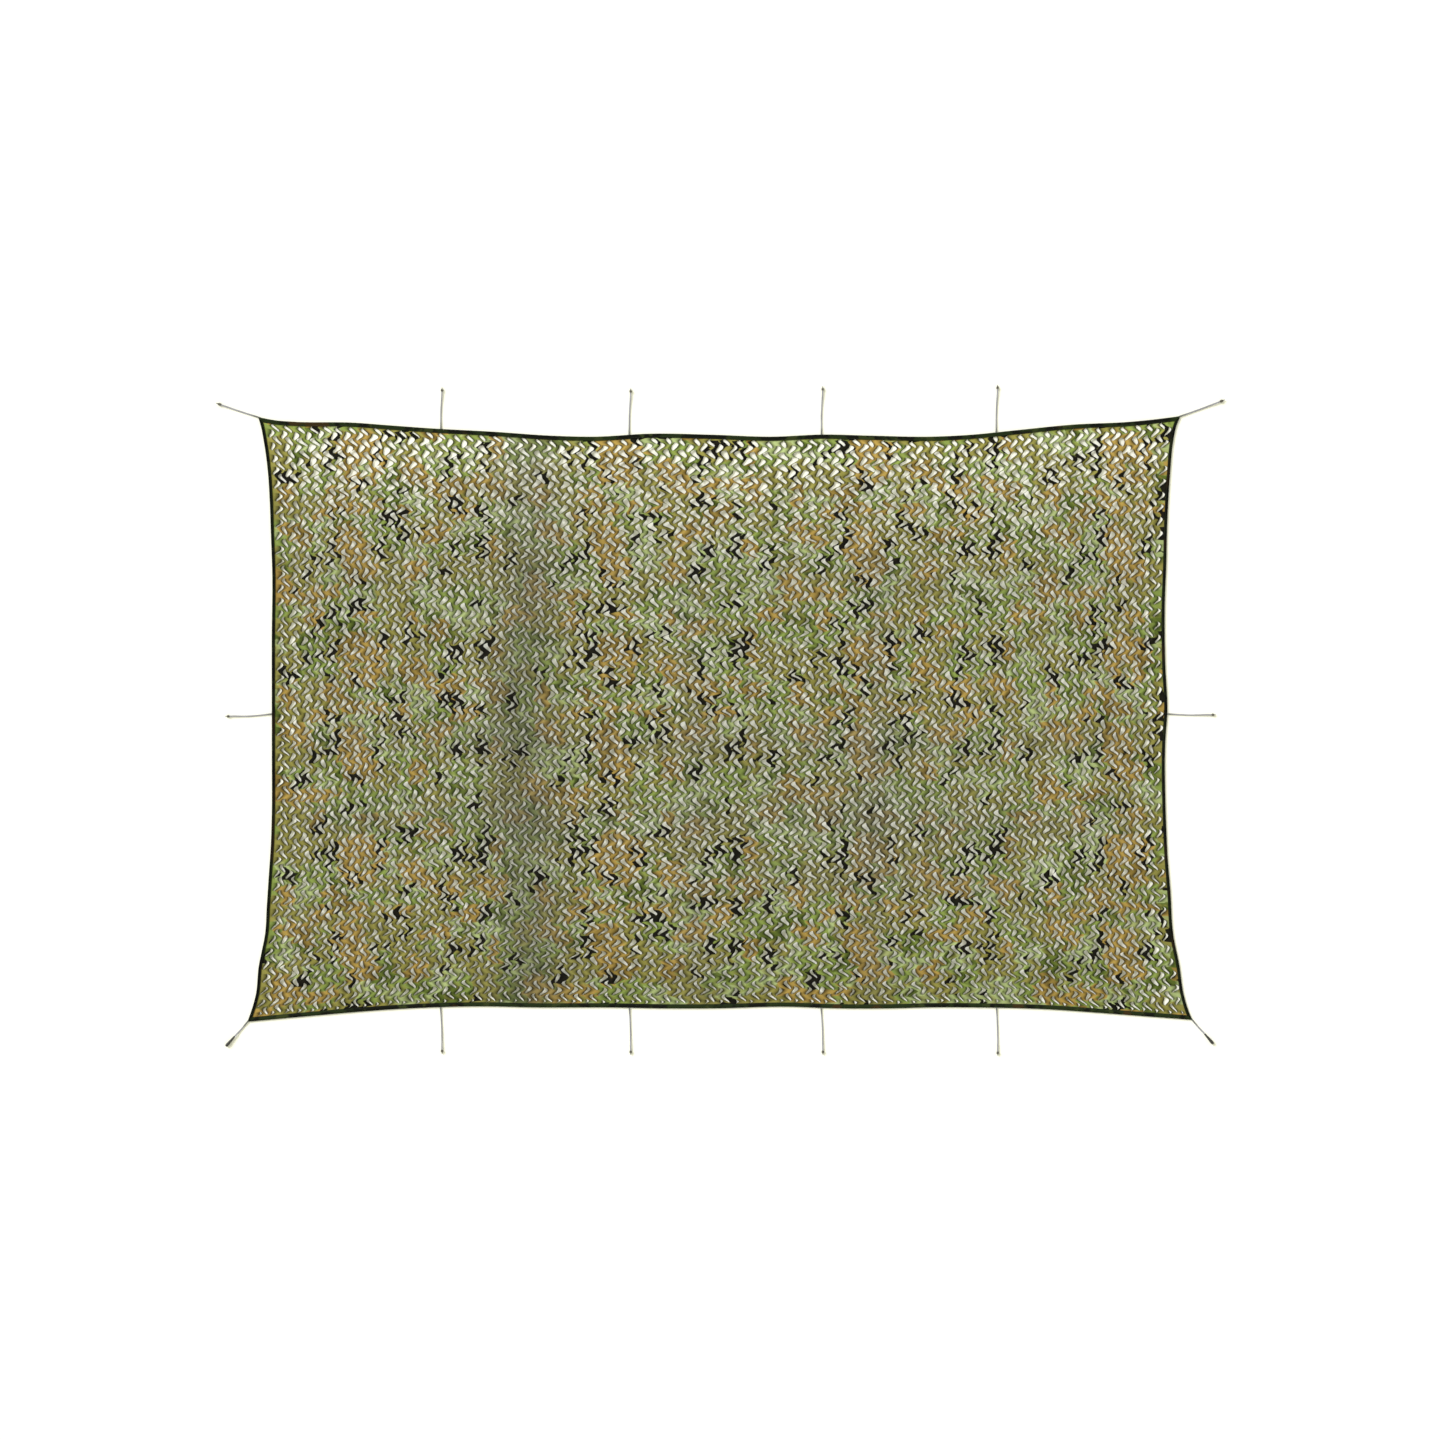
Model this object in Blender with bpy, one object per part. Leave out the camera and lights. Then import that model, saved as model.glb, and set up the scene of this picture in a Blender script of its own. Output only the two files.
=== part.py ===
"""Camouflage net: a leaf-cut cloth with four folded bindings and fourteen knotted ties, spread flat.

The net lies face up, X along its long sides and +Z up. The origin is the middle of the bound net's
box at the height of the surface it lies on. Everything is in metres.

Sides are called far (+Y), near (-Y), left (-X) and right (+X). Each one runs between two corners and
is drawn inward between them, by the distances listed in SIDES.
"""

import math

import bmesh
import bpy
import numpy as np

# Cloth.
CLOTH_THICKNESS = 0.0015
COLUMNS = 44
ROWS = 28
CROWDING = 0.35  # how much closer the columns and rows stand near the corners
FLAT_RIM = 0.012  # the width inside the sheet's edge that stays level, clear of the binding's lips
FOLD_FADE = 0.16  # how far in from the edge the folds reach their full height
LEAF_LIFT = 0.0043  # how far the cut leaves' own pleats hold the cloth up at its middle
PIECE_GAP = 0.0003

# Binding: a strip folded over the cloth's edge. Its section is listed as shares of its width.
BINDING_HEIGHT = 0.0070
LOWER_LEAF = 0.0020
SLOT_HEIGHT = CLOTH_THICKNESS + 2 * PIECE_GAP
SLOT_END = 0.30  # share of the width, from the outer edge, where the fold's slot ends
CLOTH_EDGE = 0.50  # share of the width where the cloth's edge lies in the slot
MITRE_GAP = 0.0002
OUTLINE_STEPS = 1200

# Ties.
TIE_DIAMETER = 0.0045
CORNER_TIE_DIAMETER = 0.0050
TIE_ROOT_HEIGHT = 0.0034
FLOOR_CLEARANCE = 0.0002
POINT_SPACING = 2.6  # tie diameters between two points of a tie's line
KNOT_SIDES = 10

CORNERS = {
    "far_left": (-1.5099, 0.9875),
    "far_right": (1.5067, 0.9908),
    "near_left": (-1.5455, -0.9908),
    "near_right": (1.5455, -0.9843),
}

# Each side: its two corners, its binding's width, and rows of
# (distance from the first corner, how far the side is drawn in there).
SIDES = {
    "far": {
        "ends": ("far_left", "far_right"),
        "width": 0.0155,
        "drawn_in": (
            (0.000, 0.0000),
            (0.060, 0.0110),
            (0.113, 0.0150),
            (0.309, 0.0183),
            (0.440, 0.0281),
            (0.571, 0.0376),
            (0.767, 0.0484),
            (0.963, 0.0618),
            (1.094, 0.0651),
            (1.290, 0.0553),
            (1.486, 0.0592),
            (1.682, 0.0657),
            (1.846, 0.0589),
            (2.009, 0.0628),
            (2.206, 0.0661),
            (2.336, 0.0598),
            (2.467, 0.0468),
            (2.663, 0.0275),
            (2.860, 0.0177),
            (2.925, 0.0114),
            (3.0166, 0.0000),
        ),
    },
    "near": {
        "ends": ("near_left", "near_right"),
        "width": 0.0155,
        "drawn_in": (
            (0.000, 0.0000),
            (0.084, 0.0078),
            (0.214, 0.0193),
            (0.345, 0.0304),
            (0.476, 0.0399),
            (0.607, 0.0461),
            (0.769, 0.0490),
            (0.933, 0.0455),
            (1.195, 0.0445),
            (1.359, 0.0412),
            (1.522, 0.0409),
            (1.770, 0.0458),
            (1.915, 0.0405),
            (2.111, 0.0398),
            (2.242, 0.0428),
            (2.372, 0.0423),
            (2.634, 0.0345),
            (2.765, 0.0252),
            (2.896, 0.0150),
            (3.027, 0.0050),
            (3.0910, 0.0000),
        ),
    },
    "left": {
        "ends": ("far_left", "near_left"),
        "width": 0.0105,
        "drawn_in": (
            (0.000, 0.0000),
            (0.028, 0.0088),
            (0.077, 0.0193),
            (0.175, 0.0343),
            (0.273, 0.0425),
            (0.371, 0.0477),
            (0.518, 0.0553),
            (0.715, 0.0572),
            (0.911, 0.0608),
            (1.107, 0.0644),
            (1.303, 0.0677),
            (1.401, 0.0664),
            (1.499, 0.0615),
            (1.597, 0.0569),
            (1.696, 0.0520),
            (1.745, 0.0432),
            (1.794, 0.0343),
            (1.892, 0.0255),
            (1.941, 0.0128),
            (1.9786, 0.0000),
        ),
    },
    "right": {
        "ends": ("far_right", "near_right"),
        "width": 0.0105,
        "drawn_in": (
            (0.000, 0.0000),
            (0.031, 0.0130),
            (0.080, 0.0245),
            (0.178, 0.0363),
            (0.276, 0.0448),
            (0.375, 0.0510),
            (0.473, 0.0549),
            (0.620, 0.0630),
            (0.816, 0.0650),
            (0.963, 0.0615),
            (1.061, 0.0697),
            (1.257, 0.0736),
            (1.355, 0.0723),
            (1.453, 0.0693),
            (1.551, 0.0631),
            (1.699, 0.0559),
            (1.797, 0.0383),
            (1.895, 0.0255),
            (1.944, 0.0120),
            (1.9755, 0.0000),
        ),
    },
}

# Where the cloth's main soft folds stand up off the surface: each a ridge from one end to the other.
FOLDS = (
    # x start, y start, x end, y end, height, half width
    (-0.600, 0.960, -0.680, -0.960, 0.0130, 0.120),
    (-0.110, 0.300, -0.060, -0.880, 0.0090, 0.100),
    (0.520, 0.900, 0.560, -0.300, 0.0110, 0.090),
    (0.860, 0.420, 0.780, -0.800, 0.0080, 0.110),
    (-1.380, 0.440, -0.780, 0.470, 0.0075, 0.100),
    (0.000, 0.480, 1.300, 0.420, 0.0085, 0.090),
    (-0.020, -0.080, 0.940, -0.150, 0.0080, 0.080),
    (-1.300, -0.360, -0.740, -0.330, 0.0065, 0.090),
    (-0.060, -0.420, 0.700, -0.860, 0.0090, 0.090),
    (-0.900, 0.700, -0.250, 0.850, 0.0075, 0.080),
)

# The slow unevenness between the folds: waves across the whole cloth.
WAVES = (
    # wavelength along x, wavelength along y, phase, height
    (1.30, 2.10, 0.4, 0.0020),
    (-0.83, 1.05, 1.9, 0.0015),
    (0.57, -0.94, 3.1, 0.0012),
)

# Ties along the sides: the distance of the root from the side's first corner, and the far end's place.
SIDE_TIES = (
    # name, side, root along the side, end x, end y, sideways bow
    ("far_1", "far", 0.597, -0.9083, 1.0853, 0.0015),
    ("far_2", "far", 1.213, -0.2912, 1.0817, 0.0012),
    ("far_3", "far", 1.842, 0.3370, 1.0889, 0.0018),
    ("far_4", "far", 2.414, 0.9089, 1.0935, 0.0012),
    ("near_1", "near", 0.632, -0.9083, -1.0964, 0.0015),
    ("near_2", "near", 1.250, -0.2912, -1.0990, 0.0012),
    ("near_3", "near", 1.877, 0.3376, -1.0990, 0.0018),
    ("near_4", "near", 2.451, 0.9096, -1.1020, 0.0015),
    ("left", "left", 0.970, -1.6178, 0.0085, 0.0032),
    ("right", "right", 0.973, 1.6231, 0.0137, -0.0022),
)

CORNER_TIES = (
    # name and corner, end x, end y, sideways bow
    ("far_left", -1.6479, 1.0333, 0.0008),
    ("far_right", 1.6528, 1.0444, -0.0008),
    ("near_left", -1.6155, -1.0706, 0.0006),
    ("near_right", 1.6149, -1.0631, -0.0006),
)

# A tie's route from its root to its knot: it comes down to the surface, lies on it and rises to the knot.
TIE_ROUTE = (
    # share of the way, share of the bow, share of the root's rise, share of the knot's rise
    (0.00, 0.00, 1.00, 0.00),
    (0.06, 0.08, 1.00, 0.00),
    (0.25, 0.60, 0.00, 0.00),
    (0.50, 1.00, 0.00, 0.00),
    (0.74, 0.60, 0.00, 0.30),
    (0.90, 0.08, 0.00, 1.00),
    (1.00, 0.00, 0.00, 1.00),
)

# The turned shapes at the ties' ends, as rows of (share of the length, share of the radius).
STOPPER_KNOT = ((0.0, 0.55), (0.10, 0.88), (0.34, 1.0), (0.56, 0.90), (0.70, 0.60), (1.0, 0.50))
DIPPED_END = ((0.0, 0.52), (0.30, 0.66), (0.62, 0.86), (0.86, 1.0), (0.96, 0.82), (1.0, 0.45))

# Which end each tie has: length, radius and turned shape.
KNOTS = {
    "side": (0.0150, 0.0042, STOPPER_KNOT),
    "far_left": (0.0190, 0.0046, STOPPER_KNOT),
    "far_right": (0.0190, 0.0046, STOPPER_KNOT),
    "near_left": (0.0440, 0.0052, DIPPED_END),
    "near_right": (0.0440, 0.0052, DIPPED_END),
}

CLOTH_COLOR = (0.20, 0.27, 0.10)
BINDING_COLOR = (0.035, 0.045, 0.022)
CORD_COLOR = (0.36, 0.36, 0.33)
KNOT_COLOR = (0.05, 0.05, 0.045)


def clear_scene():
    for item in list(bpy.data.objects):
        bpy.data.objects.remove(item, do_unlink=True)


def cloth_material(name, color, roughness):
    material = bpy.data.materials.new(name)
    material.use_nodes = True
    principled = material.node_tree.nodes["Principled BSDF"]
    principled.inputs["Base Color"].default_value = (*color, 1.0)
    principled.inputs["Roughness"].default_value = roughness
    principled.inputs["Metallic"].default_value = 0.0
    return material


def smooth_through(rows, at):
    """Reads a smooth curve through rows of (position, value), straight on beyond its ends."""
    xs, ys = np.array(rows, dtype=float).T
    slopes = np.gradient(ys, xs)
    within = np.clip(at, xs[0], xs[-1])
    cell = np.clip(np.searchsorted(xs, within, side="right") - 1, 0, len(xs) - 2)
    span = xs[cell + 1] - xs[cell]
    t = (within - xs[cell]) / span
    start = (1 + 2 * t) * (1 - t) ** 2 * ys[cell] + t * (1 - t) ** 2 * span * slopes[cell]
    end = t * t * (3 - 2 * t) * ys[cell + 1] + t * t * (t - 1) * span * slopes[cell + 1]
    beyond = (at - within) * np.where(at < xs[0], slopes[0], slopes[-1])
    return start + end + beyond


def side_frame(side):
    """The side's first corner, its unit direction, its unit inward normal and its length."""
    first, last = (np.array(CORNERS[name]) for name in SIDES[side]["ends"])
    length = np.linalg.norm(last - first)
    along = (last - first) / length
    inward = np.array((-along[1], along[0]))
    if inward @ (first + last) > 0:
        inward = -inward
    return first, along, inward, length


def side_line(side, at):
    """Points on the side's outer edge, and the inward normals there."""
    first, along, inward, _ = side_frame(side)
    rows = SIDES[side]["drawn_in"]
    step = 0.0005
    drawn = smooth_through(rows, at)
    slope = (smooth_through(rows, at + step) - smooth_through(rows, at - step)) / (2 * step)
    points = first + np.outer(at, along) + np.outer(drawn, inward)
    normals = inward - np.outer(slope, along)
    return points, normals / np.linalg.norm(normals, axis=1)[:, None]


def stations(side):
    """Shares of the side's length, 0 to 1, at which the cloth and the side's binding have points."""
    steps = COLUMNS if side in ("far", "near") else ROWS
    rim = FLAT_RIM / side_frame(side)[3]
    t = np.linspace(0, 1, steps - 1)
    t = t - CROWDING * np.sin(2 * math.pi * t) / (2 * math.pi)
    return np.concatenate([[0.0], rim + (1 - 2 * rim) * t, [1.0]])


def corner_sides(corner):
    return [side for side in SIDES if corner in SIDES[side]["ends"]]


def mitre(corner):
    """The unit direction of the cut between the two bindings that meet at a corner."""
    point = np.array(CORNERS[corner])
    leaving = []
    for side in corner_sides(corner):
        length = side_frame(side)[3]
        reach = 0.02
        at = reach if SIDES[side]["ends"][0] == corner else length - reach
        away = side_line(side, np.array([at]))[0][0] - point
        leaving.append(away / np.linalg.norm(away))
    widths = [SIDES[side]["width"] for side in corner_sides(corner)]
    inner = widths[1] * leaving[0] + widths[0] * leaving[1]
    return inner / np.linalg.norm(inner)


def crossing(points, corner, gap):
    """Where a line of points crosses a corner's mitre, moved off it by gap, as a fractional index."""
    across = mitre(corner)
    reach = points - np.array(CORNERS[corner])
    offset = reach @ np.array((-across[1], across[0]))
    offset = offset * np.sign(offset[len(points) // 2]) - gap
    changes = np.flatnonzero((offset[:-1] <= 0) != (offset[1:] <= 0))
    k = changes[np.argmin(np.linalg.norm(reach[changes], axis=1))]
    return k + offset[k] / (offset[k] - offset[k + 1])


def edge_line(side, share, gap=0.0):
    """The side's line at a share of its binding's width, cut at both mitres."""
    length = side_frame(side)[3]
    first, last = SIDES[side]["ends"]
    width = SIDES[side]["width"]
    lead = 2 * width
    at = np.linspace(-lead, length + lead, OUTLINE_STEPS)
    points, normals = side_line(side, at)
    points = points + normals * width * share
    start = crossing(points, first, gap)
    end = crossing(points, last, gap)
    index = start + (end - start) * stations(side)
    known = np.arange(len(points))
    return np.column_stack([np.interp(index, known, points[:, axis]) for axis in (0, 1)])


def binding_edge(side, at):
    """The point and the inward normal on the binding's faceted outer edge, at a distance along the side."""
    first, along, inward, _ = side_frame(side)
    line = edge_line(side, 0.0, MITRE_GAP)
    reach = (line - first) @ along
    k = np.searchsorted(reach, at) - 1
    run = line[k + 1] - line[k]
    normal = np.array((-run[1], run[0])) / np.linalg.norm(run)
    point = line[k] + run * (at - reach[k]) / (reach[k + 1] - reach[k])
    return point, normal * np.sign(normal @ inward)


def closed_object(name, vertices, faces, material, smooth=False):
    mesh = bpy.data.meshes.new(name)
    mesh.from_pydata([tuple(v) for v in vertices], [], faces)
    shaper = bmesh.new()
    shaper.from_mesh(mesh)
    bmesh.ops.recalc_face_normals(shaper, faces=shaper.faces)
    shaper.to_mesh(mesh)
    shaper.free()
    mesh.materials.append(material)
    if smooth:
        mesh.shade_smooth()
        mesh.set_sharp_from_angle(angle=math.radians(50))
    item = bpy.data.objects.new(name, mesh)
    bpy.context.scene.collection.objects.link(item)
    return item


def fold_height(x, y):
    """How far the folds and waves lift the cloth at x, y."""
    lift = np.zeros_like(x)
    for x0, y0, x1, y1, height, half_width in FOLDS:
        run = np.array((x1 - x0, y1 - y0))
        length = np.linalg.norm(run)
        along, across = run / length, np.array((-run[1], run[0])) / length
        s = (x - x0) * along[0] + (y - y0) * along[1]
        d = (x - x0) * across[0] + (y - y0) * across[1]
        wander = 0.25 * half_width * np.sin(s / 0.21)
        ends = np.clip(np.minimum(s, length - s) / 0.25 + 0.6, 0, 1)
        lift = lift + height * ends**2 * (3 - 2 * ends) * np.exp(-(((d - wander) / half_width) ** 2))
    for across_x, across_y, phase, height in WAVES:
        turn = 2 * math.pi * (x / across_x + y / across_y) + phase
        lift = lift + height * (1 + np.sin(turn)) / 2
    return lift


def build_net():
    """The leaf-cut cloth, uncut here: one thin sheet between the four bindings."""
    span_x = side_frame("far")[3]
    span_y = side_frame("left")[3]
    u = stations("far")
    v = stations("left")
    far, near, left, right = (edge_line(side, CLOTH_EDGE) for side in ("far", "near", "left", "right"))
    across = v[:, None, None]
    along = u[None, :, None]
    ruled = (1 - across) * far[None] + across * near[None]
    ruled = ruled + (1 - along) * left[:, None] + along * right[:, None]
    corners = (1 - across) * ((1 - along) * far[0] + along * far[-1])
    corners = corners + across * ((1 - along) * near[0] + along * near[-1])
    plan = ruled - corners

    inside_x = np.minimum(u, 1 - u)[None, :] * span_x
    inside_y = np.minimum(v, 1 - v)[:, None] * span_y
    inside = np.minimum(inside_x, inside_y)
    fade = np.clip((inside - FLAT_RIM * 1.05) / FOLD_FADE, 0, 1)
    fade = fade * fade * (3 - 2 * fade)
    level = LOWER_LEAF + PIECE_GAP
    folded = LEAF_LIFT + fold_height(plan[..., 0], plan[..., 1])
    under = level * (1 - fade) + fade * folded

    rows, columns = under.shape
    lower = np.dstack([plan, under]).reshape(-1, 3)
    upper = lower + np.array((0, 0, CLOTH_THICKNESS))
    count = rows * columns
    faces = []
    for r in range(rows - 1):
        for c in range(columns - 1):
            a, b = r * columns + c, r * columns + c + 1
            d, e = a + columns, b + columns
            faces.append((a, b, e, d))
            faces.append((a + count, d + count, e + count, b + count))
    rim = [c for c in range(columns)]
    rim += [r * columns + columns - 1 for r in range(1, rows)]
    rim += [(rows - 1) * columns + c for c in range(columns - 2, -1, -1)]
    rim += [r * columns for r in range(rows - 2, 0, -1)]
    for a, b in zip(rim, rim[1:] + rim[:1]):
        faces.append((a, a + count, b + count, b))
    material = cloth_material("net_cloth", CLOTH_COLOR, 0.85)
    return closed_object("net", np.vstack([lower, upper]), faces, material, smooth=True)


def binding_section():
    """The folded strip's section: (share of the width from the outer edge, height)."""
    slot_top = LOWER_LEAF + SLOT_HEIGHT
    return (
        (0.10, 0.0),
        (0.0, 0.0012),
        (0.0, BINDING_HEIGHT - 0.0020),
        (0.16, BINDING_HEIGHT - 0.0004),
        (0.42, BINDING_HEIGHT),
        (0.90, slot_top + 0.0018),
        (1.0, slot_top + 0.0010),
        (1.0, slot_top),
        (SLOT_END, slot_top),
        (SLOT_END, LOWER_LEAF),
        (1.0, LOWER_LEAF),
        (1.0, 0.0),
    )


def build_binding(side, material):
    section = binding_section()
    lines = []
    for share, height in section:
        line = edge_line(side, share, MITRE_GAP)
        lines.append(np.column_stack([line, np.full(len(line), height)]))
    grid = np.array(lines)
    count = grid.shape[1]
    steps = count - 1
    faces = []
    for k in range(len(section)):
        after = (k + 1) % len(section)
        for s in range(steps):
            corners = (k * count + s, k * count + s + 1, after * count + s + 1, after * count + s)
            faces.append(corners)
    faces.append(tuple(k * count for k in range(len(section))))
    faces.append(tuple(k * count + steps for k in reversed(range(len(section)))))
    return closed_object(f"binding_{side}", grid.reshape(-1, 3), faces, material, smooth=True)


def tie_route(root, end, bow, radius, knot_length, knot_radius):
    """The tie's line from its root on the binding to its knot's face, and the knot's axis."""
    root, end = np.array(root), np.array(end)
    span = np.linalg.norm(end - root)
    along = (end - root) / span
    across = np.array((-along[1], along[0]))
    lying = radius + FLOOR_CLEARANCE
    knot_height = knot_radius + FLOOR_CLEARANCE
    reach = span - knot_length - PIECE_GAP
    way, bowed, at_root, at_knot = np.array(TIE_ROUTE).T
    heights = lying + at_root * (TIE_ROOT_HEIGHT - lying) + at_knot * (knot_height - lying)
    shares = np.linspace(0, 1, round(reach / (POINT_SPACING * 2 * radius)) + 1)
    sideways = bow * smooth_through(list(zip(way, bowed)), shares)
    plan = root + np.outer(shares * reach, along) + np.outer(sideways, across)
    points = np.column_stack([plan, smooth_through(list(zip(way, heights)), shares)])
    knot_start = root + along * (span - knot_length)
    return points, np.array((*knot_start, knot_height)), along


def build_tie(name, points, radius, material):
    curve = bpy.data.curves.new(name, "CURVE")
    curve.dimensions = "3D"
    curve.bevel_depth = radius
    curve.bevel_resolution = 2
    curve.use_fill_caps = True
    spline = curve.splines.new("POLY")
    spline.points.add(len(points) - 1)
    for place, point in zip(spline.points, points):
        place.co = (*point, 1.0)
    curve.materials.append(material)
    item = bpy.data.objects.new(name, curve)
    bpy.context.scene.collection.objects.link(item)
    return item


def build_knot(name, start, along, length, radius, profile, material):
    """A turned solid along the tie's direction: a stopper knot, or a dipped end."""
    across = np.array((-along[1], along[0]))
    vertices = []
    for share, thickness in profile:
        for k in range(KNOT_SIDES):
            turn = 2 * math.pi * (k + 0.5) / KNOT_SIDES
            out = radius * thickness * math.cos(turn)
            up = radius * thickness * math.sin(turn)
            plan = start[:2] + along * length * share + across * out
            vertices.append((plan[0], plan[1], start[2] + up))
    faces = []
    for r in range(len(profile) - 1):
        for k in range(KNOT_SIDES):
            a, b = r * KNOT_SIDES + k, r * KNOT_SIDES + (k + 1) % KNOT_SIDES
            faces.append((a, b, b + KNOT_SIDES, a + KNOT_SIDES))
    faces.append(tuple(reversed(range(KNOT_SIDES))))
    faces.append(tuple((len(profile) - 1) * KNOT_SIDES + k for k in range(KNOT_SIDES)))
    return closed_object(name, vertices, faces, material, smooth=True)


def build_ties():
    cord = cloth_material("tie_cord", CORD_COLOR, 0.8)
    dark = cloth_material("tie_end", KNOT_COLOR, 0.7)
    rows = []
    for name, side, at, end_x, end_y, bow in SIDE_TIES:
        edge, inward = binding_edge(side, at)
        root = edge - inward * PIECE_GAP
        rows.append((name, root, (end_x, end_y), bow, TIE_DIAMETER / 2, KNOTS["side"]))
    for corner, end_x, end_y, bow in CORNER_TIES:
        tip = np.array(CORNERS[corner])
        out = np.array((end_x, end_y)) - tip
        root = tip + out / np.linalg.norm(out) * PIECE_GAP
        rows.append((corner, root, (end_x, end_y), bow, CORNER_TIE_DIAMETER / 2, KNOTS[corner]))
    for name, root, end, bow, radius, (length, knot_radius, profile) in rows:
        points, start, along = tie_route(root, end, bow, radius, length, knot_radius)
        build_tie(f"tie_{name}", points, radius, cord)
        build_knot(f"knot_{name}", start, along, length, knot_radius, profile, dark)


clear_scene()
build_net()
binding_cloth = cloth_material("binding_cloth", BINDING_COLOR, 0.9)
for side_name in SIDES:
    build_binding(side_name, binding_cloth)
build_ties()
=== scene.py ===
"""The camouflage net's looks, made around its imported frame.

The net lies face up on a pale floor and is seen from straight above. Everything is in metres, in the
frame's own axes: X along the net's long sides, +Y to the far side, +Z up.
"""

import math

import bpy
import numpy as np
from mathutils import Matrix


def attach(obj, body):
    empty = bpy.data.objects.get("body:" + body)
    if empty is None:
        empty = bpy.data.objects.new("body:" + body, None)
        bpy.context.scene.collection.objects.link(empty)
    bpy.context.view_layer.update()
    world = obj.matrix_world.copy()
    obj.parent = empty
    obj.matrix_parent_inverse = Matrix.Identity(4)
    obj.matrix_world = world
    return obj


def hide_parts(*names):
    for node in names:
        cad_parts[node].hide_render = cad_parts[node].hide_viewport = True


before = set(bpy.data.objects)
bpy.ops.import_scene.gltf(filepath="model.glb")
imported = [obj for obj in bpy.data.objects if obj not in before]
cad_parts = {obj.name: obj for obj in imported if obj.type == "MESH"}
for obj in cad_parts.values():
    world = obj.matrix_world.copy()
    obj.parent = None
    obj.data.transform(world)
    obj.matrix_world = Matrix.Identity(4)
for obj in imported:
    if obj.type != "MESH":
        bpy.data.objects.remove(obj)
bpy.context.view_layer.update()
scene = bpy.context.scene

# ----------------
# Camera. The net was photographed from straight above, from far enough off that its sides stay
# parallel in the picture.
LENS = 85.0
SENSOR = 36.0
PICTURE_WIDTH = 4.709
PICTURE_CENTRE = (0.0008, -0.0033)
NET_HEIGHT = 0.008
VIEW_DEPTH = 200.0

lens = bpy.data.cameras.new("camera")
lens.lens = LENS
lens.sensor_width = SENSOR
lens.clip_end = VIEW_DEPTH
camera = bpy.data.objects.new("camera", lens)
camera.location = (*PICTURE_CENTRE, NET_HEIGHT + PICTURE_WIDTH * LENS / SENSOR)
scene.collection.objects.link(camera)
scene.camera = camera
scene.view_settings.view_transform = "Standard"
scene.view_settings.look = "None"

# ----------------
# Floor and light: a smooth pale studio floor, lit evenly from all round, with one broad soft lamp
# from the far left that gives the leaves of the net their light and dark sides.
FLOOR_COLOR = (0.93, 0.93, 0.89)
FLOOR_CLOUDS = 0.985  # the floor's faint clouds, as a share of its colour
FLOOR_HALF = 40.0
ROOM_LIGHT = (1.0, 0.99, 0.79)
ROOM_STRENGTH = 0.82
LAMP_STRENGTH = 2.9
LAMP_ELEVATION = 35.0  # degrees above the floor
LAMP_HEADING = 140.0  # degrees from +X, towards +Y
LAMP_SPREAD = 25.0


class Link:
    """One socket of a material's nodes, so that shader maths is written as plain Python."""

    def __init__(self, tree, socket=None):
        self.tree = tree
        self.socket = socket

    def node(self, kind, settings=None, inputs=None, out=0):
        """Adds a node, sets it up, fills its sockets and returns one of its outputs."""
        made = self.tree.nodes.new("ShaderNode" + kind)
        for key, value in (settings or {}).items():
            setattr(made, key, value)
        for key, value in (inputs or {}).items():
            if isinstance(value, Link):
                self.tree.links.new(value.socket, made.inputs[key])
            else:
                made.inputs[key].default_value = value
        return Link(self.tree, made.outputs[out])

    def maths(self, operation, first, second):
        return self.node("Math", {"operation": operation}, {0: first, 1: second})

    def __add__(self, other):
        return self.maths("ADD", self, other)

    def __sub__(self, other):
        return self.maths("SUBTRACT", self, other)

    def __rsub__(self, other):
        return self.maths("SUBTRACT", other, self)

    def __mul__(self, other):
        return self.maths("MULTIPLY", self, other)

    def above(self, level, softness):
        """0 below the level, 1 above it, with a soft step between."""
        settings = {"interpolation_type": "SMOOTHSTEP"}
        reach = {0: self, 1: level - softness, 2: level + softness}
        return self.node("MapRange", settings, reach)

    def blend(self, color, other):
        """One colour where self is 0, the other where it is 1."""
        settings = {"data_type": "RGBA"}
        ends = {6: wide(color), 7: wide(other)}
        return self.node("Mix", settings, {0: self, **ends}, out=2)

    def times(self, color):
        """A colour made darker or lighter by self."""
        grey = self.node("CombineColor", None, {0: self, 1: self, 2: self})
        settings = {"data_type": "RGBA", "blend_type": "MULTIPLY"}
        return self.node("Mix", settings, {0: 1.0, 6: wide(color), 7: grey}, out=2)

    def noise(self, scale, detail=2.0, roughness=0.5):
        """Cloudy noise on self, a place, with so many clouds to a metre."""
        inputs = {"Vector": self, "Scale": scale, "Detail": detail, "Roughness": roughness}
        return self.node("TexNoise", None, inputs)

    def moved(self, by):
        """A place moved by so much, where the same noise reads differently."""
        return self.node("VectorMath", {"operation": "ADD"}, {0: self, 1: by})

    def attribute(self, name):
        """A number that the mesh carries at each of its points."""
        return self.node("Attribute", {"attribute_name": name}, out=2)


def wide(color):
    return color if isinstance(color, Link) else (*color, 1.0)


def new_finish(name, roughness):
    """A material, its shader, and the start of its node maths."""
    material = bpy.data.materials.new(name)
    material.use_nodes = True
    shader = material.node_tree.nodes["Principled BSDF"]
    shader.inputs["Roughness"].default_value = roughness
    return material, shader, Link(material.node_tree)


def feed(shader, name, link):
    link.tree.links.new(link.socket, shader.inputs[name])


def roughen(shader, pattern, strength, depth):
    """Fine bumps on a finish, from the lights and darks of a pattern."""
    inputs = {"Strength": strength, "Distance": depth, "Height": pattern}
    feed(shader, "Normal", pattern.node("Bump", None, inputs))


floor_finish, floor_shader, start = new_finish("studio_floor", 0.9)
cloudy = start.node("NewGeometry").noise(3.0)
clouds = tuple(FLOOR_CLOUDS * c for c in FLOOR_COLOR)
feed(floor_shader, "Base Color", cloudy.blend(FLOOR_COLOR, clouds))
floor_shader.inputs["Specular IOR Level"].default_value = 0.0

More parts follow.
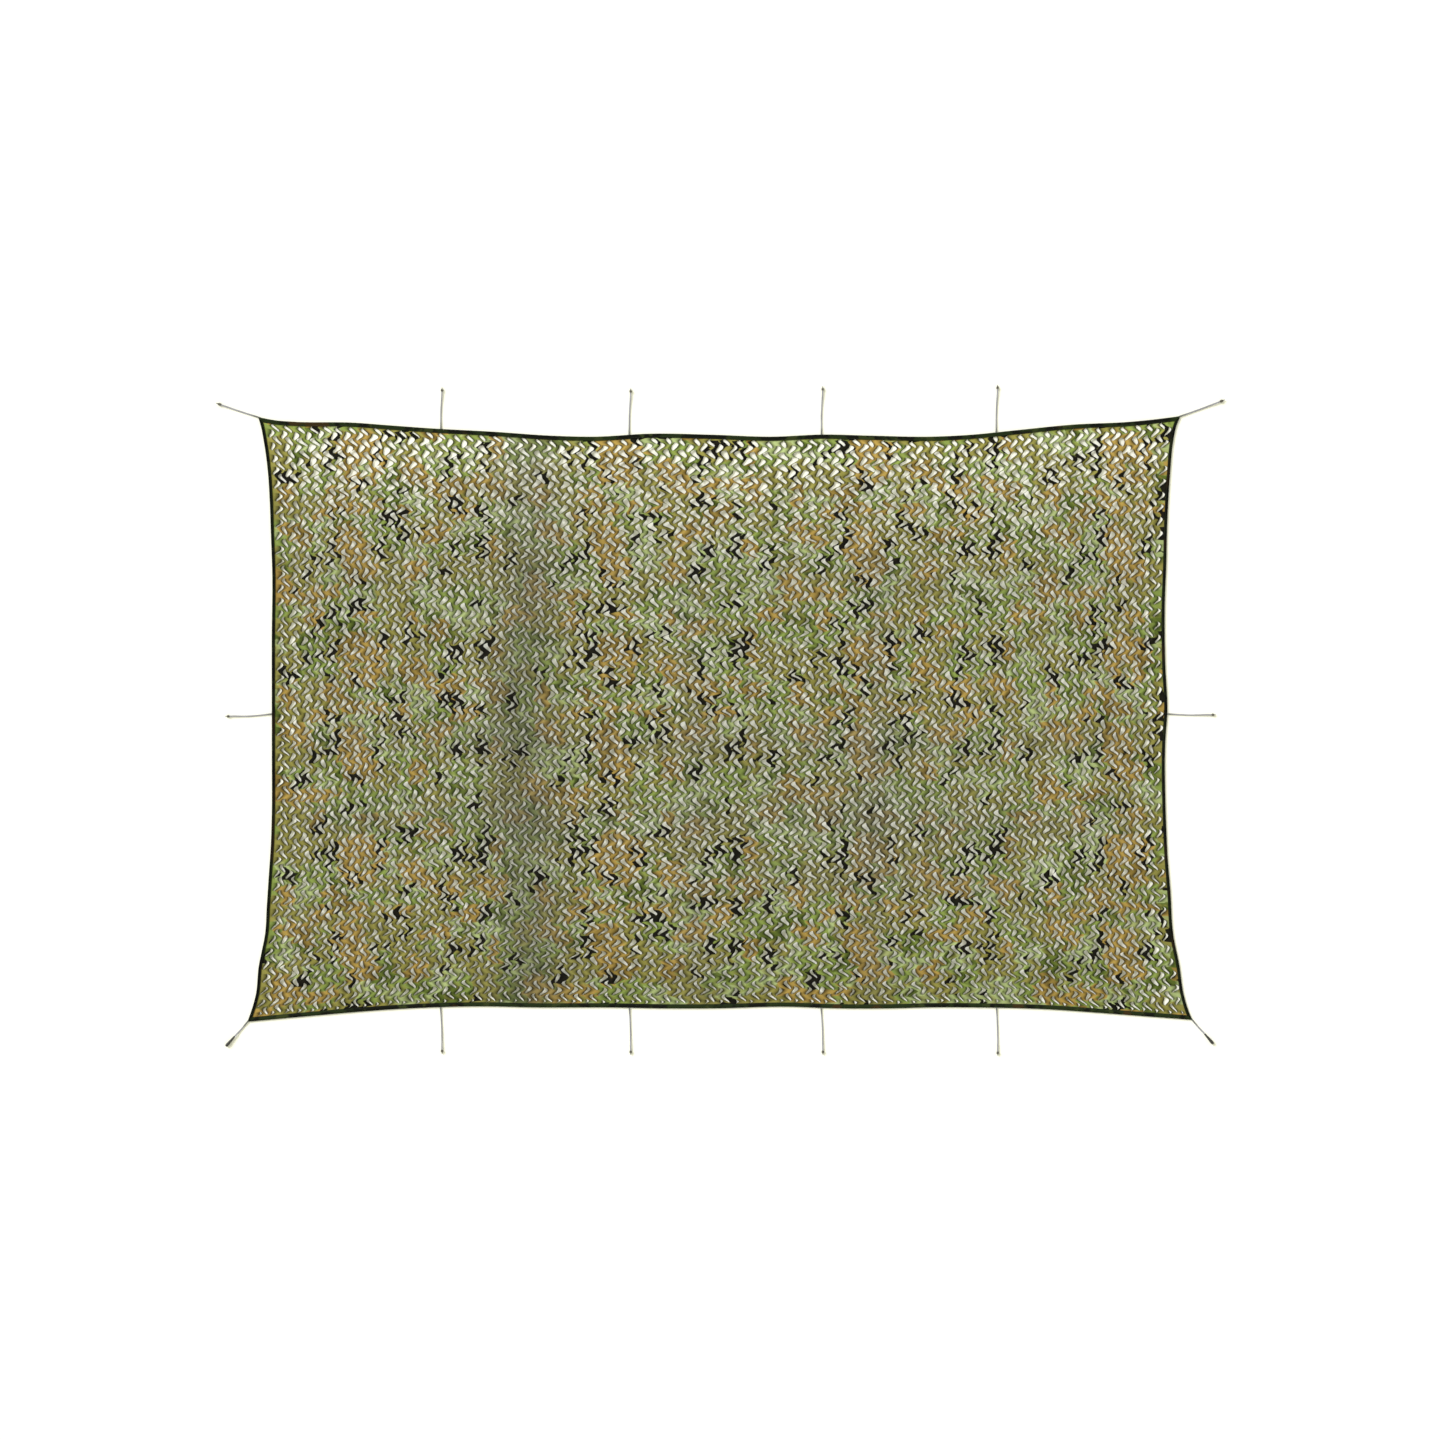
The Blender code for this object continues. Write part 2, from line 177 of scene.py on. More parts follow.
floor_mesh = bpy.data.meshes.new("studio_floor")
corners = [(x * FLOOR_HALF, y * FLOOR_HALF, 0.0) for x, y in ((-1, -1), (1, -1), (1, 1), (-1, 1))]
floor_mesh.from_pydata(corners, [], [(0, 1, 2, 3)])
floor_mesh.materials.append(floor_finish)
floor = bpy.data.objects.new("studio_floor", floor_mesh)
scene.collection.objects.link(floor)

room = bpy.data.worlds.new("room")
room.use_nodes = True
room.node_tree.nodes["Background"].inputs["Color"].default_value = (*ROOM_LIGHT, 1.0)
room.node_tree.nodes["Background"].inputs["Strength"].default_value = ROOM_STRENGTH
scene.world = room

lamp_light = bpy.data.lights.new("broad_lamp", "SUN")
lamp_light.energy = LAMP_STRENGTH
lamp_light.angle = math.radians(LAMP_SPREAD)
lamp = bpy.data.objects.new("broad_lamp", lamp_light)
lamp.rotation_euler = (0.0, math.radians(90.0 - LAMP_ELEVATION), math.radians(LAMP_HEADING))
scene.collection.objects.link(lamp)

# ----------------
# Ties. Fourteen short lengths of grey three-strand polyester cord are sewn into the bound edge, ten
# along the sides and one at each corner, and lie straight out on the floor. Their routes are the
# frame's own.
CORNERS = {
    "far_left": (-1.5099, 0.9875),
    "far_right": (1.5067, 0.9908),
    "near_left": (-1.5455, -0.9908),
    "near_right": (1.5455, -0.9843),
}

# Each side: its two corners, its binding's width, and rows of
# (distance from the first corner, how far the side is drawn in there).
SIDES = {
    "far": {
        "ends": ("far_left", "far_right"),
        "width": 0.0138,
        "drawn_in": (
            (0.0, 0.0), (0.060, 0.0110), (0.113, 0.0150), (0.309, 0.0183), (0.440, 0.0281),
            (0.571, 0.0376), (0.767, 0.0484), (0.963, 0.0618), (1.094, 0.0651), (1.290, 0.0553),
            (1.486, 0.0592), (1.682, 0.0657), (1.846, 0.0589), (2.009, 0.0628), (2.206, 0.0661),
            (2.336, 0.0598), (2.467, 0.0468), (2.663, 0.0275), (2.860, 0.0177), (2.925, 0.0114),
            (3.0166, 0.0),
        ),
    },
    "near": {
        "ends": ("near_left", "near_right"),
        "width": 0.0138,
        "drawn_in": (
            (0.0, 0.0), (0.084, 0.0078), (0.214, 0.0193), (0.345, 0.0304), (0.476, 0.0399),
            (0.607, 0.0461), (0.769, 0.0490), (0.933, 0.0455), (1.195, 0.0445), (1.359, 0.0412),
            (1.522, 0.0409), (1.770, 0.0458), (1.915, 0.0405), (2.111, 0.0398), (2.242, 0.0428),
            (2.372, 0.0423), (2.634, 0.0345), (2.765, 0.0252), (2.896, 0.0150), (3.027, 0.0050),
            (3.0910, 0.0),
        ),
    },
    "left": {
        "ends": ("far_left", "near_left"),
        "width": 0.0105,
        "drawn_in": (
            (0.0, 0.0), (0.028, 0.0088), (0.077, 0.0193), (0.175, 0.0343), (0.273, 0.0425),
            (0.371, 0.0477), (0.518, 0.0553), (0.715, 0.0572), (0.911, 0.0608), (1.107, 0.0644),
            (1.303, 0.0677), (1.401, 0.0664), (1.499, 0.0615), (1.597, 0.0569), (1.696, 0.0520),
            (1.745, 0.0432), (1.794, 0.0343), (1.892, 0.0255), (1.941, 0.0128), (1.9786, 0.0),
        ),
    },
    "right": {
        "ends": ("far_right", "near_right"),
        "width": 0.0105,
        "drawn_in": (
            (0.0, 0.0), (0.031, 0.0130), (0.080, 0.0245), (0.178, 0.0363), (0.276, 0.0448),
            (0.375, 0.0510), (0.473, 0.0549), (0.620, 0.0630), (0.816, 0.0650), (0.963, 0.0615),
            (1.061, 0.0697), (1.257, 0.0736), (1.355, 0.0723), (1.453, 0.0693), (1.551, 0.0631),
            (1.699, 0.0559), (1.797, 0.0383), (1.895, 0.0255), (1.944, 0.0120), (1.9755, 0.0),
        ),
    },
}

# The ties along the sides, then those at the corners, each with its far end's place.
SIDE_TIES = (
    # name, side, root's distance from the side's first corner, end x, end y, sideways bow
    ("far_1", "far", 0.597, -0.9083, 1.0853, 0.0015),
    ("far_2", "far", 1.213, -0.2912, 1.0817, 0.0012),
    ("far_3", "far", 1.842, 0.3370, 1.0889, 0.0018),
    ("far_4", "far", 2.414, 0.9089, 1.0935, 0.0012),
    ("near_1", "near", 0.632, -0.9083, -1.0964, 0.0015),
    ("near_2", "near", 1.250, -0.2912, -1.0990, 0.0012),
    ("near_3", "near", 1.877, 0.3376, -1.0990, 0.0018),
    ("near_4", "near", 2.451, 0.9096, -1.1020, 0.0015),
    ("left", "left", 0.970, -1.6178, 0.0085, 0.0032),
    ("right", "right", 0.973, 1.6231, 0.0137, -0.0022),
)

CORNER_TIES = (
    # name and corner, end x, end y, sideways bow, the end's length and radius, whether it is dipped
    ("far_left", -1.6479, 1.0333, 0.0008, 0.0190, 0.0046, False),
    ("far_right", 1.6528, 1.0444, -0.0008, 0.0190, 0.0046, False),
    ("near_left", -1.6155, -1.0706, 0.0006, 0.0440, 0.0052, True),
    ("near_right", 1.6149, -1.0631, -0.0006, 0.0440, 0.0052, True),
)
SIDE_KNOT = (0.0150, 0.0042, False)

# A tie's route: it comes down to the floor from its root, lies on it and rises to its knot.
TIE_ROUTE = (
    # share of the way, share of the bow, share of the root's rise, share of the knot's rise
    (0.00, 0.00, 1.00, 0.00),
    (0.06, 0.08, 1.00, 0.00),
    (0.25, 0.60, 0.00, 0.00),
    (0.50, 1.00, 0.00, 0.00),
    (0.74, 0.60, 0.00, 0.30),
    (0.90, 0.08, 0.00, 1.00),
    (1.00, 0.00, 0.00, 1.00),
)

TIE_DIAMETER = 0.0045
CORNER_TIE_DIAMETER = 0.0050
TIE_ROOT_HEIGHT = 0.0034
FLOOR_CLEARANCE = 0.0002
PIECE_GAP = 0.0003
TIE_TUCK = 0.0045  # how far a side tie reaches into the binding; a corner tie twice as far
STRANDS = 3
STRAND_TURN = 0.016  # length of one full turn of the strands
STRAND_DEPTH = 0.20
TIE_RING = 15
TIE_STEP = 0.0014
KNOT_OVERLAP = 0.001  # how far a tie runs on into its knot

CORD_GREYS = ((0.240, 0.238, 0.290), (0.315, 0.316, 0.385))
CORD_AT_ROOT = (0.140, 0.144, 0.150)
END_BROWNS = ((0.055, 0.052, 0.046), (0.115, 0.110, 0.095))
DIPPED_BLACKS = ((0.012, 0.012, 0.012), (0.030, 0.029, 0.027))

# A stopper knot, in shares of its radius and length; its turns lie so many wound radii apart.
WOUND_RADIUS = 0.36
WOUND_LENGTH = 0.66
TURN_PITCH = 2.15
LEAST_TURNS = 2.4
TURN_STEPS = 22
WOUND_RING = 9
TAIL_LENGTH = 0.96
TAIL_STEPS = 26
TAIL_RING = 12

# A dipped end's outline: (share of its length, share of its greatest radius).
DIPPED_OUTLINE = (
    (0.00, 0.50), (0.18, 0.60), (0.40, 0.72), (0.62, 0.88),
    (0.84, 1.00), (0.93, 0.94), (1.00, 0.42),
)
DIPPED_STEPS = 120
DIPPED_RING = 18
TWINE_PITCH = 0.0017
TWINE_DEPTH = 0.035
WHIPPED_SHARE = 0.80


def smooth_through(rows, at):
    """Reads a smooth curve through rows of (position, value), straight on beyond its ends."""
    xs, ys = np.array(rows, dtype=float).T
    slopes = np.gradient(ys, xs)
    within = np.clip(at, xs[0], xs[-1])
    cell = np.clip(np.searchsorted(xs, within, side="right") - 1, 0, len(xs) - 2)
    span = xs[cell + 1] - xs[cell]
    t = (within - xs[cell]) / span
    start_part = (1 + 2 * t) * (1 - t) ** 2 * ys[cell] + t * (1 - t) ** 2 * span * slopes[cell]
    end_part = t * t * (3 - 2 * t) * ys[cell + 1] + t * t * (t - 1) * span * slopes[cell + 1]
    beyond = (at - within) * np.where(at < xs[0], slopes[0], slopes[-1])
    return start_part + end_part + beyond


def side_frame(side):
    """The side's first corner, its unit direction, its unit inward normal and its length."""
    first, last = (np.array(CORNERS[name]) for name in SIDES[side]["ends"])
    length = np.linalg.norm(last - first)
    along = (last - first) / length
    inward = np.array((-along[1], along[0]))
    if inward @ (first + last) > 0:
        inward = -inward
    return first, along, inward, length


def side_line(side, at):
    """Points on the side's outer edge, and the inward normals there."""
    first, along, inward, _ = side_frame(side)
    rows = SIDES[side]["drawn_in"]
    step = 0.0005
    drawn = smooth_through(rows, at)
    slope = (smooth_through(rows, at + step) - smooth_through(rows, at - step)) / (2 * step)
    points = first + np.outer(at, along) + np.outer(drawn, inward)
    normals = inward - np.outer(slope, along)
    return points, normals / np.linalg.norm(normals, axis=1)[:, None]


def unit(vector):
    return vector / np.linalg.norm(vector)


def draw_mesh(name, vertices, faces, material):
    """A smooth object from arrays of points and of faces that all have as many corners."""
    vertices = np.asarray(vertices, dtype=np.float32)
    faces = np.asarray(faces, dtype=np.int32)
    corners = faces.shape[1]
    mesh = bpy.data.meshes.new(name)
    mesh.vertices.add(len(vertices))
    mesh.vertices.foreach_set("co", vertices.ravel())
    mesh.loops.add(faces.size)
    mesh.loops.foreach_set("vertex_index", faces.ravel())
    mesh.polygons.add(len(faces))
    mesh.polygons.foreach_set("loop_start", np.arange(0, faces.size, corners, dtype=np.int32))
    mesh.update(calc_edges=True)
    mesh.validate()
    mesh.polygons.foreach_set("use_smooth", np.ones(len(faces), dtype=bool))
    mesh.materials.append(material)
    item = bpy.data.objects.new(name, mesh)
    scene.collection.objects.link(item)
    return item


def point_numbers(item, name, values):
    """Gives the mesh a number at each of its points, which its finish reads."""
    layer = item.data.attributes.new(name, "FLOAT", "POINT")
    layer.data.foreach_set("value", np.asarray(values, dtype=np.float32).ravel())


def tube(line, radii, ring, turns_per_metre=0.0, lobes=0, depth=0.0):
    """A closed tube along a line, plain or stranded: its points, quads, end triangles and way along."""
    line = np.asarray(line, dtype=float)
    tangent = np.gradient(line, axis=0)
    tangent /= np.linalg.norm(tangent, axis=1)[:, None]
    side = np.cross(tangent[0], (0.0, 0.0, 1.0))
    if np.linalg.norm(side) < 0.1:
        side = np.cross(tangent[0], (1.0, 0.0, 0.0))
    across = []
    for direction in tangent:
        side = unit(side - direction * (side @ direction))
        across.append(side)
    across = np.array(across)
    upward = np.cross(tangent, across)
    way = np.concatenate([[0.0], np.cumsum(np.linalg.norm(np.diff(line, axis=0), axis=1))])
    angle = np.linspace(0, math.tau, ring, endpoint=False)[None, :]
    twist = (math.tau * turns_per_metre * way)[:, None]
    reach = np.asarray(radii, dtype=float).reshape(-1, 1) * np.ones_like(angle)
    if lobes:
        reach = reach * (1 - depth * (1 - np.abs(np.cos(lobes / 2 * (angle - twist)))))
    points = line[:, None] + reach[..., None] * (
        np.cos(angle)[..., None] * across[:, None] + np.sin(angle)[..., None] * upward[:, None]
    )
    count = len(line)
    points = np.concatenate([points.reshape(-1, 3), line[:1], line[-1:]])
    index = np.arange(count * ring).reshape(count, ring)
    nearer, further = index[:-1], index[1:]
    quads = np.stack([nearer, np.roll(nearer, -1, 1), np.roll(further, -1, 1), further], axis=-1)
    first, last = index[0], index[-1]
    head, foot = np.full(ring, count * ring), np.full(ring, count * ring + 1)
    caps = [np.stack([head, np.roll(first, -1), first], axis=-1)]
    caps.append(np.stack([foot, last, np.roll(last, -1)], axis=-1))
    return points, quads.reshape(-1, 4), np.concatenate(caps), way


def draw_tubes(name, parts, material):
    """One object of several tubes; parts are the results of tube()."""
    points, faces, count = [], [], 0
    for tube_points, quads, caps, _ in parts:
        points.append(tube_points)
        split = np.concatenate([quads[:, [0, 1, 2]], quads[:, [0, 2, 3]], caps])
        faces.append(split + count)
        count += len(tube_points)
    return draw_mesh(name, np.concatenate(points), np.concatenate(faces), material)


def tie_route(root, end, bow, radius, knot_length, knot_radius):
    """The tie's line from its root on the binding to its knot, the knot's start and the tie's direction."""
    root, end = np.array(root), np.array(end)
    span = np.linalg.norm(end - root)
    along = (end - root) / span
    across = np.array((-along[1], along[0]))
    lying = radius + FLOOR_CLEARANCE
    knot_height = knot_radius + FLOOR_CLEARANCE
    reach = span - knot_length - PIECE_GAP
    way, bowed, at_root, at_knot = np.array(TIE_ROUTE).T
    heights = lying + at_root * (TIE_ROOT_HEIGHT - lying) + at_knot * (knot_height - lying)
    shares = np.linspace(0, 1, round(reach / TIE_STEP) + 1)
    sideways = bow * smooth_through(list(zip(way, bowed)), shares)
    plan = root + np.outer(shares * reach, along) + np.outer(sideways, across)
    points = np.column_stack([plan, smooth_through(list(zip(way, heights)), shares)])
    knot_start = root + along * (span - knot_length)
    return points, np.array((*knot_start, knot_height)), np.array((*along, 0.0))


def fibrous_finish(name, roughness, fibres, strength, depth):
    """A finish with fine fibres in its surface: as new_finish(), and the place and the fibres."""
    finish, shader, start = new_finish(name, roughness)
    place = start.node("TexCoord", out=3)
    fibre = place.noise(fibres, 3.0, 0.7)
    roughen(shader, fibre, strength, depth)
    return finish, shader, start, place, fibre


cord_finish, cord_shader, start, place, fibre = fibrous_finish("tie_cord", 0.78, 2600.0, 0.5, 0.0003)
grime = place.noise(26.0, 3.0, 0.6)
color = grime.above(0.52, 0.16).blend(*CORD_GREYS)
near_root = start.attribute("from_root").above(0.016, 0.014)
color = near_root.blend(CORD_AT_ROOT, color)
color = (fibre * 0.5 + 0.75).times(color)
feed(cord_shader, "Base Color", color)

end_finish, end_shader, _, place, fibre = fibrous_finish("tie_end", 0.62, 2200.0, 0.6, 0.0004)
color = place.noise(120.0).above(0.5, 0.2).blend(*END_BROWNS)
feed(end_shader, "Base Color", (fibre * 0.6 + 0.7).times(color))

dipped_finish, dipped_shader, _, _, fibre = fibrous_finish("dipped_end", 0.45, 1500.0, 0.4, 0.0004)
feed(dipped_shader, "Base Color", fibre.blend(*DIPPED_BLACKS))


def stopper_parts(knot_start, along, length, radius, cord_radius):
    """A stopper knot: turns of cord wound round the cord itself, which ends in a short tail."""
    across = np.array((-along[1], along[0], 0.0))
    up = np.array((0.0, 0.0, 1.0))
    wound_radius = radius * WOUND_RADIUS
    from_axis = radius - wound_radius
    wound_length = length * WOUND_LENGTH
    turns = max(LEAST_TURNS, wound_length / (TURN_PITCH * wound_radius))
    share = np.linspace(0, 1, round(turns * TURN_STEPS))
    turn = math.tau * turns * share
    swell = np.clip(np.minimum(share, 1 - share) * 5, 0, 1) ** 0.5
    out = from_axis * (0.25 + 0.75 * swell)
    advance = wound_radius + (wound_length - 2 * wound_radius) * share
    coil = knot_start + np.outer(advance, along)
    coil = coil + np.outer(out * np.cos(turn), across) + np.outer(out * np.sin(turn), up)
    wound = tube(coil, np.full(len(coil), wound_radius), WOUND_RING)
    tail = knot_start + np.outer(np.linspace(0.0, length * TAIL_LENGTH, TAIL_STEPS), along)
    way = np.linspace(0, 1, TAIL_STEPS)
    tail_radii = cord_radius * (0.86 - 0.30 * way + 0.10 * np.sin(way * 40.0))
    tail_radii[-1] *= 0.45
    return [wound, tube(tail, tail_radii, TAIL_RING, 1 / STRAND_TURN, STRANDS, STRAND_DEPTH)]


def dipped_parts(knot_start, along, length, radius):
    """The thick end of a corner tie: whipped with thin twine and dipped, with a rounded tip."""
    share = np.linspace(0, 1, DIPPED_STEPS)
    thickness = smooth_through(DIPPED_OUTLINE, share)
    turns = np.abs(np.sin(share * math.pi * length / TWINE_PITCH))
    ridges = TWINE_DEPTH * turns * (share < WHIPPED_SHARE)
    line = knot_start + np.outer(share * length, along)
    return [tube(line, radius * np.clip(thickness - TWINE_DEPTH + ridges, 0.1, 1.0), DIPPED_RING)]


tie_rows = []
for name, side, at, end_x, end_y, bow in SIDE_TIES:
    edge, inward = side_line(side, np.array([at]))
    root = edge[0] - inward[0] * PIECE_GAP
    tie_rows.append((name, root, (end_x, end_y), bow, TIE_DIAMETER / 2, SIDE_KNOT, TIE_TUCK))
for corner, end_x, end_y, bow, *knot in CORNER_TIES:
    tip = np.array(CORNERS[corner])
    out = unit(np.array((end_x, end_y)) - tip)
    root = tip + out * PIECE_GAP
    radius = CORNER_TIE_DIAMETER / 2
    tie_rows.append((corner, root, (end_x, end_y), bow, radius, knot, 2 * TIE_TUCK))

for name, root, end, bow, radius, (length, knot_radius, dipped), tuck in tie_rows:
    points, knot_start, along = tie_route(root, end, bow, radius, length, knot_radius)
    lead_in = points[0] - np.outer(np.arange(round(tuck / TIE_STEP), 0, -1) * TIE_STEP, along)
    line = np.concatenate([lead_in, points, [knot_start + along * KNOT_OVERLAP]])
    part = tube(line, np.full(len(line), radius), TIE_RING, 1 / STRAND_TURN, STRANDS, STRAND_DEPTH)
    tie = draw_tubes("cord_" + name, [part], cord_finish)
    way = part[3] - tuck
    point_numbers(tie, "from_root", np.concatenate([np.repeat(way, TIE_RING), way[:1], way[-1:]]))
    if dipped:
        parts = dipped_parts(knot_start, along, length, knot_radius)
    else:
        parts = stopper_parts(knot_start, along, length, knot_radius, radius)
    end_piece = draw_tubes("end_" + name, parts, dipped_finish if dipped else end_finish)
    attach(tie, "root")
    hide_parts("tie_" + name)
    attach(end_piece, "root")
    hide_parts("knot_" + name)
    2 * radius

# ----------------
# Binding. A strip of the same printed cloth is folded over each side of the net and sewn down with
# one row of dark thread near its inner edge; it puckers beside the thread, and its print is darkened with
# painted shade.
MITRE_GAP = 0.0002
MITRE_REACH = 0.02
OUTLINE_STEPS = 2400
BINDING_STEP = 0.0042
PUCKER = 0.0006
PUCKER_WAVES = (0.019, 0.027, 0.012, 0.035)
PUCKER_SEED = 40
PUCKER_FADE = 0.02  # how far from a corner the puckers die away
SIDES_DARKER = 0.72  # how much darker the binding is at left and right
THREAD_SHARE = 0.78
THREAD_HEIGHT = 0.0054
THREAD_RADIUS = 0.00042
STITCH = 0.0046
STITCH_SHOWN = 0.62
STITCHES_SKIPPED = 2  # at each end of a side

# One stitch along its length: (share of the length, thickness, rise). Its ends sink into the cloth.
STITCH_RINGS = ((0.0, 0.5, -0.2), (0.25, 1.0, 0.55), (0.75, 1.0, 0.55), (1.0, 0.5, -0.2))
STITCH_CORNERS = 4

# The binding's print colours, made very dark with painted shade.
BINDING_BLACK = (0.004, 0.005, 0.003)
BINDING_DEEP = (0.012, 0.021, 0.006)
BINDING_GREEN = (0.026, 0.036, 0.010)
BINDING_BROWN = (0.034, 0.020, 0.006)
THREAD_COLORS = ((0.010, 0.012, 0.008), (0.045, 0.050, 0.030))

# The folded strip's section: (share of the width from the outer edge, height, how far it puckers).
BINDING_SECTION = (
    (0.12, 0.0002, 0.0), (0.02, 0.0012, 0.3), (0.00, 0.0030, 0.6),
    (0.02, 0.0049, 0.8), (0.14, 0.0063, 1.0), (0.32, 0.0069, 1.0),
    (0.52, 0.0066, 1.0), (0.70, 0.0058, 0.6), (0.78, 0.0054, 0.1),
    (0.88, 0.0055, 0.8), (0.98, 0.0052, 1.0), (1.00, 0.0044, 0.6),
    (0.94, 0.0041, 0.0), (0.30, 0.0041, 0.0), (0.30, 0.0020, 0.0),
    (0.98, 0.0020, 0.0), (1.00, 0.0006, 0.0), (0.94, 0.0002, 0.0),
)


def mitre(corner):
    """The unit direction of the cut between the two bindings that meet at a corner."""
    point = np.array(CORNERS[corner])
    sides = [side for side in SIDES if corner in SIDES[side]["ends"]]
    leaving = []
    for side in sides:
        length = side_frame(side)[3]
        at = MITRE_REACH if SIDES[side]["ends"][0] == corner else length - MITRE_REACH
        leaving.append(unit(side_line(side, np.array([at]))[0][0] - point))
    widths = [SIDES[side]["width"] for side in sides]
    return unit(widths[1] * leaving[0] + widths[0] * leaving[1])


def crossing(points, corner, gap):
    """Where a line of points crosses a corner's mitre, moved off it by gap, as a fractional index."""
    across = mitre(corner)
    reach = points - np.array(CORNERS[corner])
    offset = reach @ np.array((-across[1], across[0]))
    offset = offset * np.sign(offset[len(points) // 2]) - gap
    changes = np.flatnonzero((offset[:-1] <= 0) != (offset[1:] <= 0))
    k = changes[np.argmin(np.linalg.norm(reach[changes], axis=1))]
    return k + offset[k] / (offset[k] - offset[k + 1])


def edge_line(side, share, shares, gap=0.0):
    """A side's line at a share of its binding's width, from mitre to mitre, at shares of its length."""
    length = side_frame(side)[3]
    first, last = SIDES[side]["ends"]
    width = SIDES[side]["width"]
    lead = 2 * width
    at = np.linspace(-lead, length + lead, OUTLINE_STEPS)
    points, normals = side_line(side, at)
    points = points + normals * width * share
    begins = crossing(points, first, gap)
    ends = crossing(points, last, gap)
    index = begins + (ends - begins) * shares
    known = np.arange(len(points))
    return np.column_stack([np.interp(index, known, points[:, axis]) for axis in (0, 1)])


def cloud(seed, wavelengths, height):
    """An uneven wave along a line, made of a few sines of its own."""
    draw = np.random.default_rng(seed)
    phases = draw.uniform(0, math.tau, len(wavelengths))
    weights = draw.uniform(0.5, 1.0, len(wavelengths))

    def read(at):
        rows = zip(weights, wavelengths, phases)
        waves = [weight * np.sin(math.tau * at / long + phase) for weight, long, phase in rows]
        return height * sum(waves) / weights.sum()

    return read


binding_finish, binding_shader, start = new_finish("binding_cloth", 0.88)
place = start.node("TexCoord", out=3)
blotch = place.noise(9.0, 3.0, 0.6)
second = place.noise(14.0, 3.0, 0.6)
brown = place.noise(6.5, 2.0, 0.5)
color = blotch.above(0.50, 0.03).blend(BINDING_BLACK, BINDING_DEEP)
color = second.above(0.60, 0.03).blend(color, BINDING_GREEN)
color = brown.above(0.64, 0.02).blend(color, BINDING_BROWN)
color = (1.0 - start.attribute("dark_side") * SIDES_DARKER).times(color)
weave = place.noise(1400.0, 2.0, 0.6)
feed(binding_shader, "Base Color", (weave * 0.6 + 0.7).times(color))
binding_shader.inputs["Specular IOR Level"].default_value = 0.10
roughen(binding_shader, weave, 0.5, 0.0003)

thread_finish, thread_shader, start = new_finish("sewing_thread", 0.6)
twist = start.node("TexCoord", out=3).noise(3000.0)
feed(thread_shader, "Base Color", twist.blend(*THREAD_COLORS))

# The faces of one stitch: its sides from ring to ring, then its two ends.
stitch_pattern = []
for r in range(len(STITCH_RINGS) - 1):
    for c in range(STITCH_CORNERS):
        a, b = STITCH_CORNERS * r + c, STITCH_CORNERS * r + (c + 1) % STITCH_CORNERS
        stitch_pattern.append((a, b, b + STITCH_CORNERS, a + STITCH_CORNERS))
stitch_pattern += [(3, 2, 1, 0), (12, 13, 14, 15)]
stitch_points = STITCH_CORNERS * len(STITCH_RINGS)

for number, side in enumerate(SIDES):
    length = side_frame(side)[3]
    count = round(length / BINDING_STEP)
    shares = np.linspace(0, 1, count)
    at = shares * length
    puckering = cloud(PUCKER_SEED + number, PUCKER_WAVES, PUCKER)
    pucker = puckering(at)
    edge_fade = np.clip(np.minimum(at, length - at) / PUCKER_FADE, 0, 1)
    lines = []
    for share, height, give in BINDING_SECTION:
        line = edge_line(side, share, shares, MITRE_GAP)
        lift = height + give * pucker * edge_fade
        lines.append(np.column_stack([line, np.clip(lift, FLOOR_CLEARANCE, None)]))
    grid = np.array(lines)
    rows_in = len(BINDING_SECTION)
    index = np.arange(rows_in * count).reshape(rows_in, count)
    after = np.roll(index, -1, 0)
    quads = np.stack([index[:, :-1], index[:, 1:], after[:, 1:], after[:, :-1]], axis=-1).reshape(-1, 4)
    triangles = np.concatenate([quads[:, [0, 1, 2]], quads[:, [0, 2, 3]]])
    middle = grid.mean(axis=0)
    hubs = np.array([middle[0], middle[-1]])
    base = rows_in * count
    first_cap = np.stack([np.full(rows_in, base), after[:, 0], index[:, 0]], axis=-1)
    last_cap = np.stack([np.full(rows_in, base + 1), index[:, -1], after[:, -1]], axis=-1)
    vertices = np.concatenate([grid.reshape(-1, 3), hubs])
    faces = np.concatenate([triangles, first_cap, last_cap])
    if side in ("far", "right"):
        faces = faces[:, ::-1]
    tape = draw_mesh("tape_" + side, vertices, faces, binding_finish)
    point_numbers(tape, "dark_side", np.full(len(vertices), float(side in ("left", "right"))))

    stitches = int(length / STITCH) - 2 * STITCHES_SKIPPED
    along_share = (np.arange(stitches) + STITCHES_SKIPPED + 0.5) * STITCH / length
    half = STITCH_SHOWN * STITCH / 2 / length
    begin = edge_line(side, THREAD_SHARE, along_share - half, MITRE_GAP)
    finish = edge_line(side, THREAD_SHARE, along_share + half, MITRE_GAP)
    run = finish - begin
    run /= np.linalg.norm(run, axis=1)[:, None]
    cross = np.column_stack([-run[:, 1], run[:, 0]])
    seat = THREAD_HEIGHT + 0.1 * puckering(along_share * length)
    rings = []
    for share, swell, rise in STITCH_RINGS:
        centre = begin + (finish - begin) * share
        for turn in (0.25, 0.75, 1.25, 1.75):
            out = THREAD_RADIUS * swell * math.cos(turn * math.pi)
            up = THREAD_RADIUS * (swell * math.sin(turn * math.pi) + rise)
            rings.append(np.column_stack([centre + cross * out, seat + up]))
    vertices = np.array(rings).transpose(1, 0, 2).reshape(-1, 3)
    each = stitch_points * np.arange(stitches)[:, None, None]
    faces = (np.array(stitch_pattern)[None] + each).reshape(-1, 4)
    seam = draw_mesh("seam_" + side, vertices, faces, thread_finish)

    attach(tape, "root")
    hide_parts("binding_" + side)
    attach(seam, "root")

